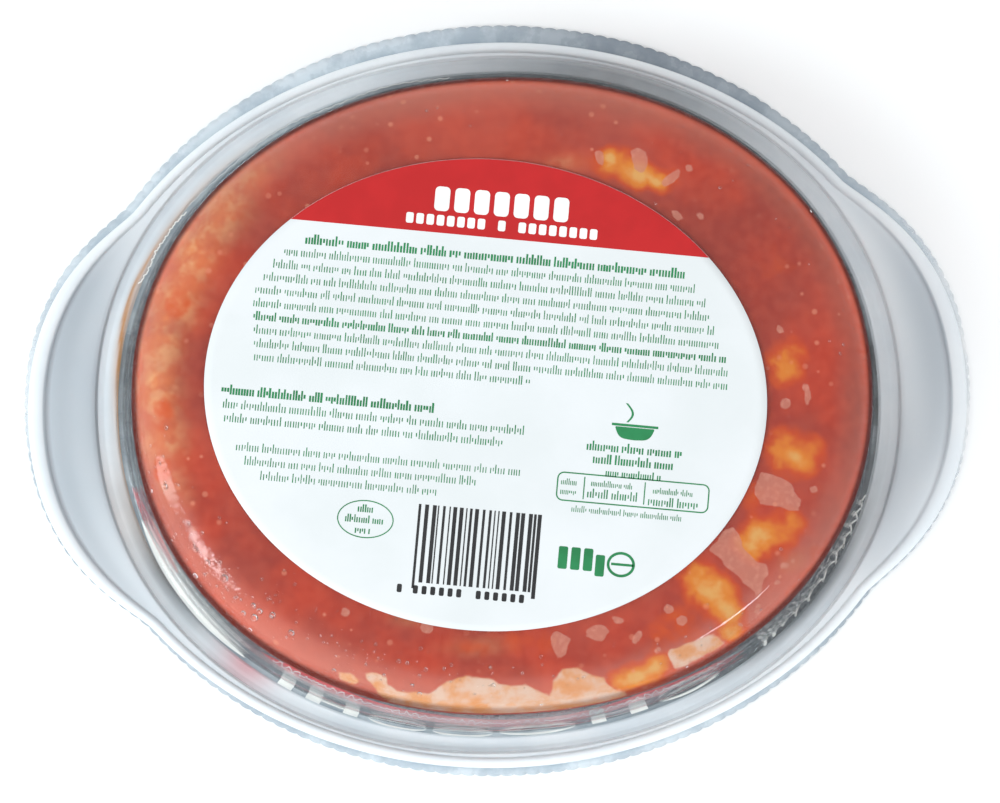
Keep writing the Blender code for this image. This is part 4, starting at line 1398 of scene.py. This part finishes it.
# %% Green marks
rng = np.random.default_rng(5)
green = [strokes(rng, -39.8, 39.4, 28.5, 2.1, 0.40)]
for line in range(9):
    v = 25.6 - 2.78 * line
    edge = label_edge(v + 1.0)
    first = -min(edge - 4.6, 50.5 - 0.3 * line)
    last = [41.5, 44.0, 45.2, 46.6, 47.4, 49.4, 49.8, 50.2, 9.5][line]
    green.append(strokes(rng, first, min(last, edge - 3.4), v, 1.85, 0.20 if line not in (5,) else 0.32))
for first, last, v, size, weight in [
    (-54.0, -10.0, -4.0, 2.05, 0.40), (-53.5, 9.0, -6.9, 1.9, 0.21), (-53.0, 5.0, -9.7, 1.9, 0.21),
    (-50.0, 9.0, -15.4, 1.85, 0.19), (-48.0, 0.0, -18.2, 1.85, 0.19), (-44.5, -8.0, -21.0, 1.85, 0.19),
    (21.7, 41.7, -8.7, 2.0, 0.34), (23.2, 40.2, -11.3, 2.0, 0.34), (26.0, 37.6, -14.0, 1.7, 0.26),
    (17.0, 20.6, -16.6, 1.3, 0.17), (17.0, 20.6, -18.6, 1.3, 0.17), (23.2, 32.0, -16.4, 1.3, 0.17),
    (22.6, 33.2, -18.5, 1.9, 0.26), (36.0, 44.6, -16.8, 1.3, 0.17), (35.2, 46.0, -19.0, 1.9, 0.26),
    (19.6, 42.6, -22.0, 1.35, 0.16),
    (-24.0, -20.6, -25.8, 1.6, 0.26), (-26.4, -18.4, -28.0, 1.6, 0.26), (-24.2, -20.6, -30.2, 1.6, 0.26),
]:
    green.append(strokes(rng, first, last, v, size, weight))
green.append(oval_line(-22.4, -28.0, 5.8, 3.9, 0.22))
green.append(frame_line(31.8, -17.6, 31.5, 6.0, 1.4, 0.26))
green += [bar(21.7, -17.6, 0.22, 4.6), bar(34.2, -17.6, 0.22, 4.6)]
quantity = [rounded_bar(u, v, w, h, 0.35) for u, v, w, h in [
    (18.6, -32.2, 1.9, 4.6), (21.2, -32.2, 1.9, 4.6), (23.8, -32.2, 1.9, 4.6), (26.3, -33.2, 1.9, 4.4)]]
green += quantity
green.append(oval_line(30.6, -32.6, 2.9, 2.6, 0.55))
green.append(bar(30.9, -32.6, 4.6, 0.5))
bowl_u = np.linspace(-4.0, 4.0, 30) + 31.1
bowl_low = -4.6 - 2.3 * (1 - ((bowl_u - 31.1) / 4.0) ** 6) * (1 - 0.12 * np.abs(bowl_u - 31.1) / 4)
green.append(ribbon(np.stack([bowl_u, bowl_low], -1), np.stack([bowl_u, np.full(30, -4.3)], -1),
                    LABEL_HIGH - 0.01 * MM, LABEL_HIGH + INK))
green.append(bar(31.1, -3.9, 9.6, 0.5))
steam_v = np.linspace(-3.3, 0.6, 24)
steam_u = 29.2 + 1.0 * np.sin((steam_v + 3.3) * 0.9)
green.append(ribbon(np.stack([steam_u, steam_v], -1), np.stack([steam_u + 0.45, steam_v], -1),
                    LABEL_HIGH - 0.01 * MM, LABEL_HIGH + INK))
GREEN_INK = ink_finish("green_ink", paint(24, 128, 74), paint(18, 116, 64))
green_marks = make_mesh("label_green_marks", *on_label(join(green)), [GREEN_INK], smooth_faces=False)

# %% Black bars
rng = np.random.default_rng(41)
code = []
u = 0.8 - 12.55
module = 0.264
while u < 0.8 + 12.3:
    width = module * rng.integers(1, 4)
    longer = 1.3 if u < -11.0 or u > 12.4 or abs(u - 0.8) < 0.6 else 0.0
    code.append(bar(u + width / 2, -31.9 - longer / 2, width, 16.0 + longer))
    u += width + module * rng.integers(1, 4)
for start, letters in ((-14.2, 1), (-10.9, 6), (2.0, 6)):
    for i in range(letters):
        code.append(rounded_bar(start + 1.78 * i, -41.4, 1.0, 1.7, 0.3))
BLACK_INK = ink_finish("black_ink", paint(34, 34, 36), paint(26, 26, 28))
black_marks = make_mesh("label_black_bars", *on_label(join(code)), [BLACK_INK], smooth_faces=False)
for piece in (red_cap, white_marks, green_marks, black_marks):
    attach(piece, "root")
print("label print triangles:", [len(p.data.polygons) for p in (red_cap, white_marks, green_marks, black_marks)])

# %% [markdown]
# ## Studio
#
# The pack lies on a pale board under soft light. A wide softbox stands low on the left and leaves the broad pale
# streak in the tray's rounded corner; a small one at the front right leaves the thin bright one. The sky of the
# studio is brighter near the horizon, which the steep wall mirrors as a soft haze.

# %% Floor, sky and lamps
def floor_finish():
    """Pale matt board with very faint clouds."""
    material, nodes, links, shader = new_material("pale_board")
    cloud = place_group(
        nodes, cloud_group, Light=(0.96, 0.96, 0.96, 1), Dark=(0.945, 0.946, 0.948, 1), Scale=1 / (120 * MM)
    )
    links.new(cloud.outputs["Colour"], shader.inputs["Base Color"])
    set_values(shader, Roughness=0.7)
    return material


half = 1.6
floor_z = -0.15 * MM
floor_points = np.array([(-half, -half, floor_z), (half, -half, floor_z), (half, half, floor_z), (-half, half, floor_z)])
floor = make_mesh("floor", floor_points, np.array([[0, 1, 2], [0, 2, 3]]), [floor_finish()])

scene = bpy.context.scene
scene.view_settings.view_transform = "Standard"
world = bpy.data.worlds.new("studio")
scene.world = world
world.use_nodes = True
sky = world.node_tree
background = sky.nodes["Background"]
split = sky.nodes.new("ShaderNodeSeparateXYZ")
sky.links.new(sky.nodes.new("ShaderNodeTexCoord").outputs["Generated"], split.inputs[0])
SKY_FAR, SKY_NEAR, SKY_ZENITH = 0.78, 1.48, 0.88
towards_front = maths(
    sky.nodes, sky.links, "ADD",
    maths(sky.nodes, sky.links, "MULTIPLY", split.outputs["X"], -0.45),
    maths(sky.nodes, sky.links, "MULTIPLY", split.outputs["Y"], -0.85),
)
level = ramp(sky.nodes, sky.links, towards_front, -0.9, 0.9, SKY_FAR, SKY_NEAR)
high = ramp(sky.nodes, sky.links, split.outputs["Z"], 0.75, 0.98)
strength = sky.nodes.new("ShaderNodeMix")
sky.links.new(high, strength.inputs[0])
sky.links.new(level, strength.inputs[2])
strength.inputs[3].default_value = SKY_ZENITH
sky.links.new(strength.outputs[0], background.inputs["Strength"])
background.inputs["Color"].default_value = (0.98, 0.99, 1.0, 1.0)


def softbox(name, azimuth, elevation, distance, width, height, radiance, colour=(0.82, 0.96, 1.0)):
    """An elliptic area lamp aimed at the tray; its power follows from radiance: pi * area * radiance."""
    lamp = bpy.data.lights.new(name, "AREA")
    lamp.shape = "ELLIPSE"
    lamp.size, lamp.size_y = width, height
    lamp.energy = math.pi * (math.pi / 4 * width * height) * radiance
    lamp.color = colour
    holder = bpy.data.objects.new(name, lamp)
    scene.collection.objects.link(holder)
    around, up = math.radians(azimuth), math.radians(elevation)
    spot = Vector((math.cos(up) * math.cos(around), math.cos(up) * math.sin(around), math.sin(up))) * distance
    holder.location = spot
    holder.rotation_euler = (-spot).to_track_quat("-Z", "Y").to_euler()
    return holder


softbox("left_softbox", 190, 30, 1.0, 0.17, 0.56, 5.2)
softbox("left_window", 208, 39, 1.0, 0.20, 0.44, 10.5)
softbox("front_strip", 310.5, 38, 1.0, 0.24, 0.05, 15.0)

# %% Camera
camera_data = bpy.data.cameras.new("camera")
camera = bpy.data.objects.new("camera", camera_data)
scene.collection.objects.link(camera)
camera_data.sensor_width = 36.0
camera_data.lens = 107.4
camera_data.clip_end = 20.0
camera.location = Vector((-24.9 * MM, -53.1 * MM, 643.4 * MM)) + Vector(CENTRE)
look = (
    Matrix.Rotation(math.radians(4.732), 3, "X")
    @ Matrix.Rotation(math.radians(-2.214), 3, "Y")
    @ Matrix.Rotation(math.radians(-2.653), 3, "Z")
)
camera.rotation_euler = look.to_euler()
scene.camera = camera
print("camera at", [round(value, 4) for value in camera.location])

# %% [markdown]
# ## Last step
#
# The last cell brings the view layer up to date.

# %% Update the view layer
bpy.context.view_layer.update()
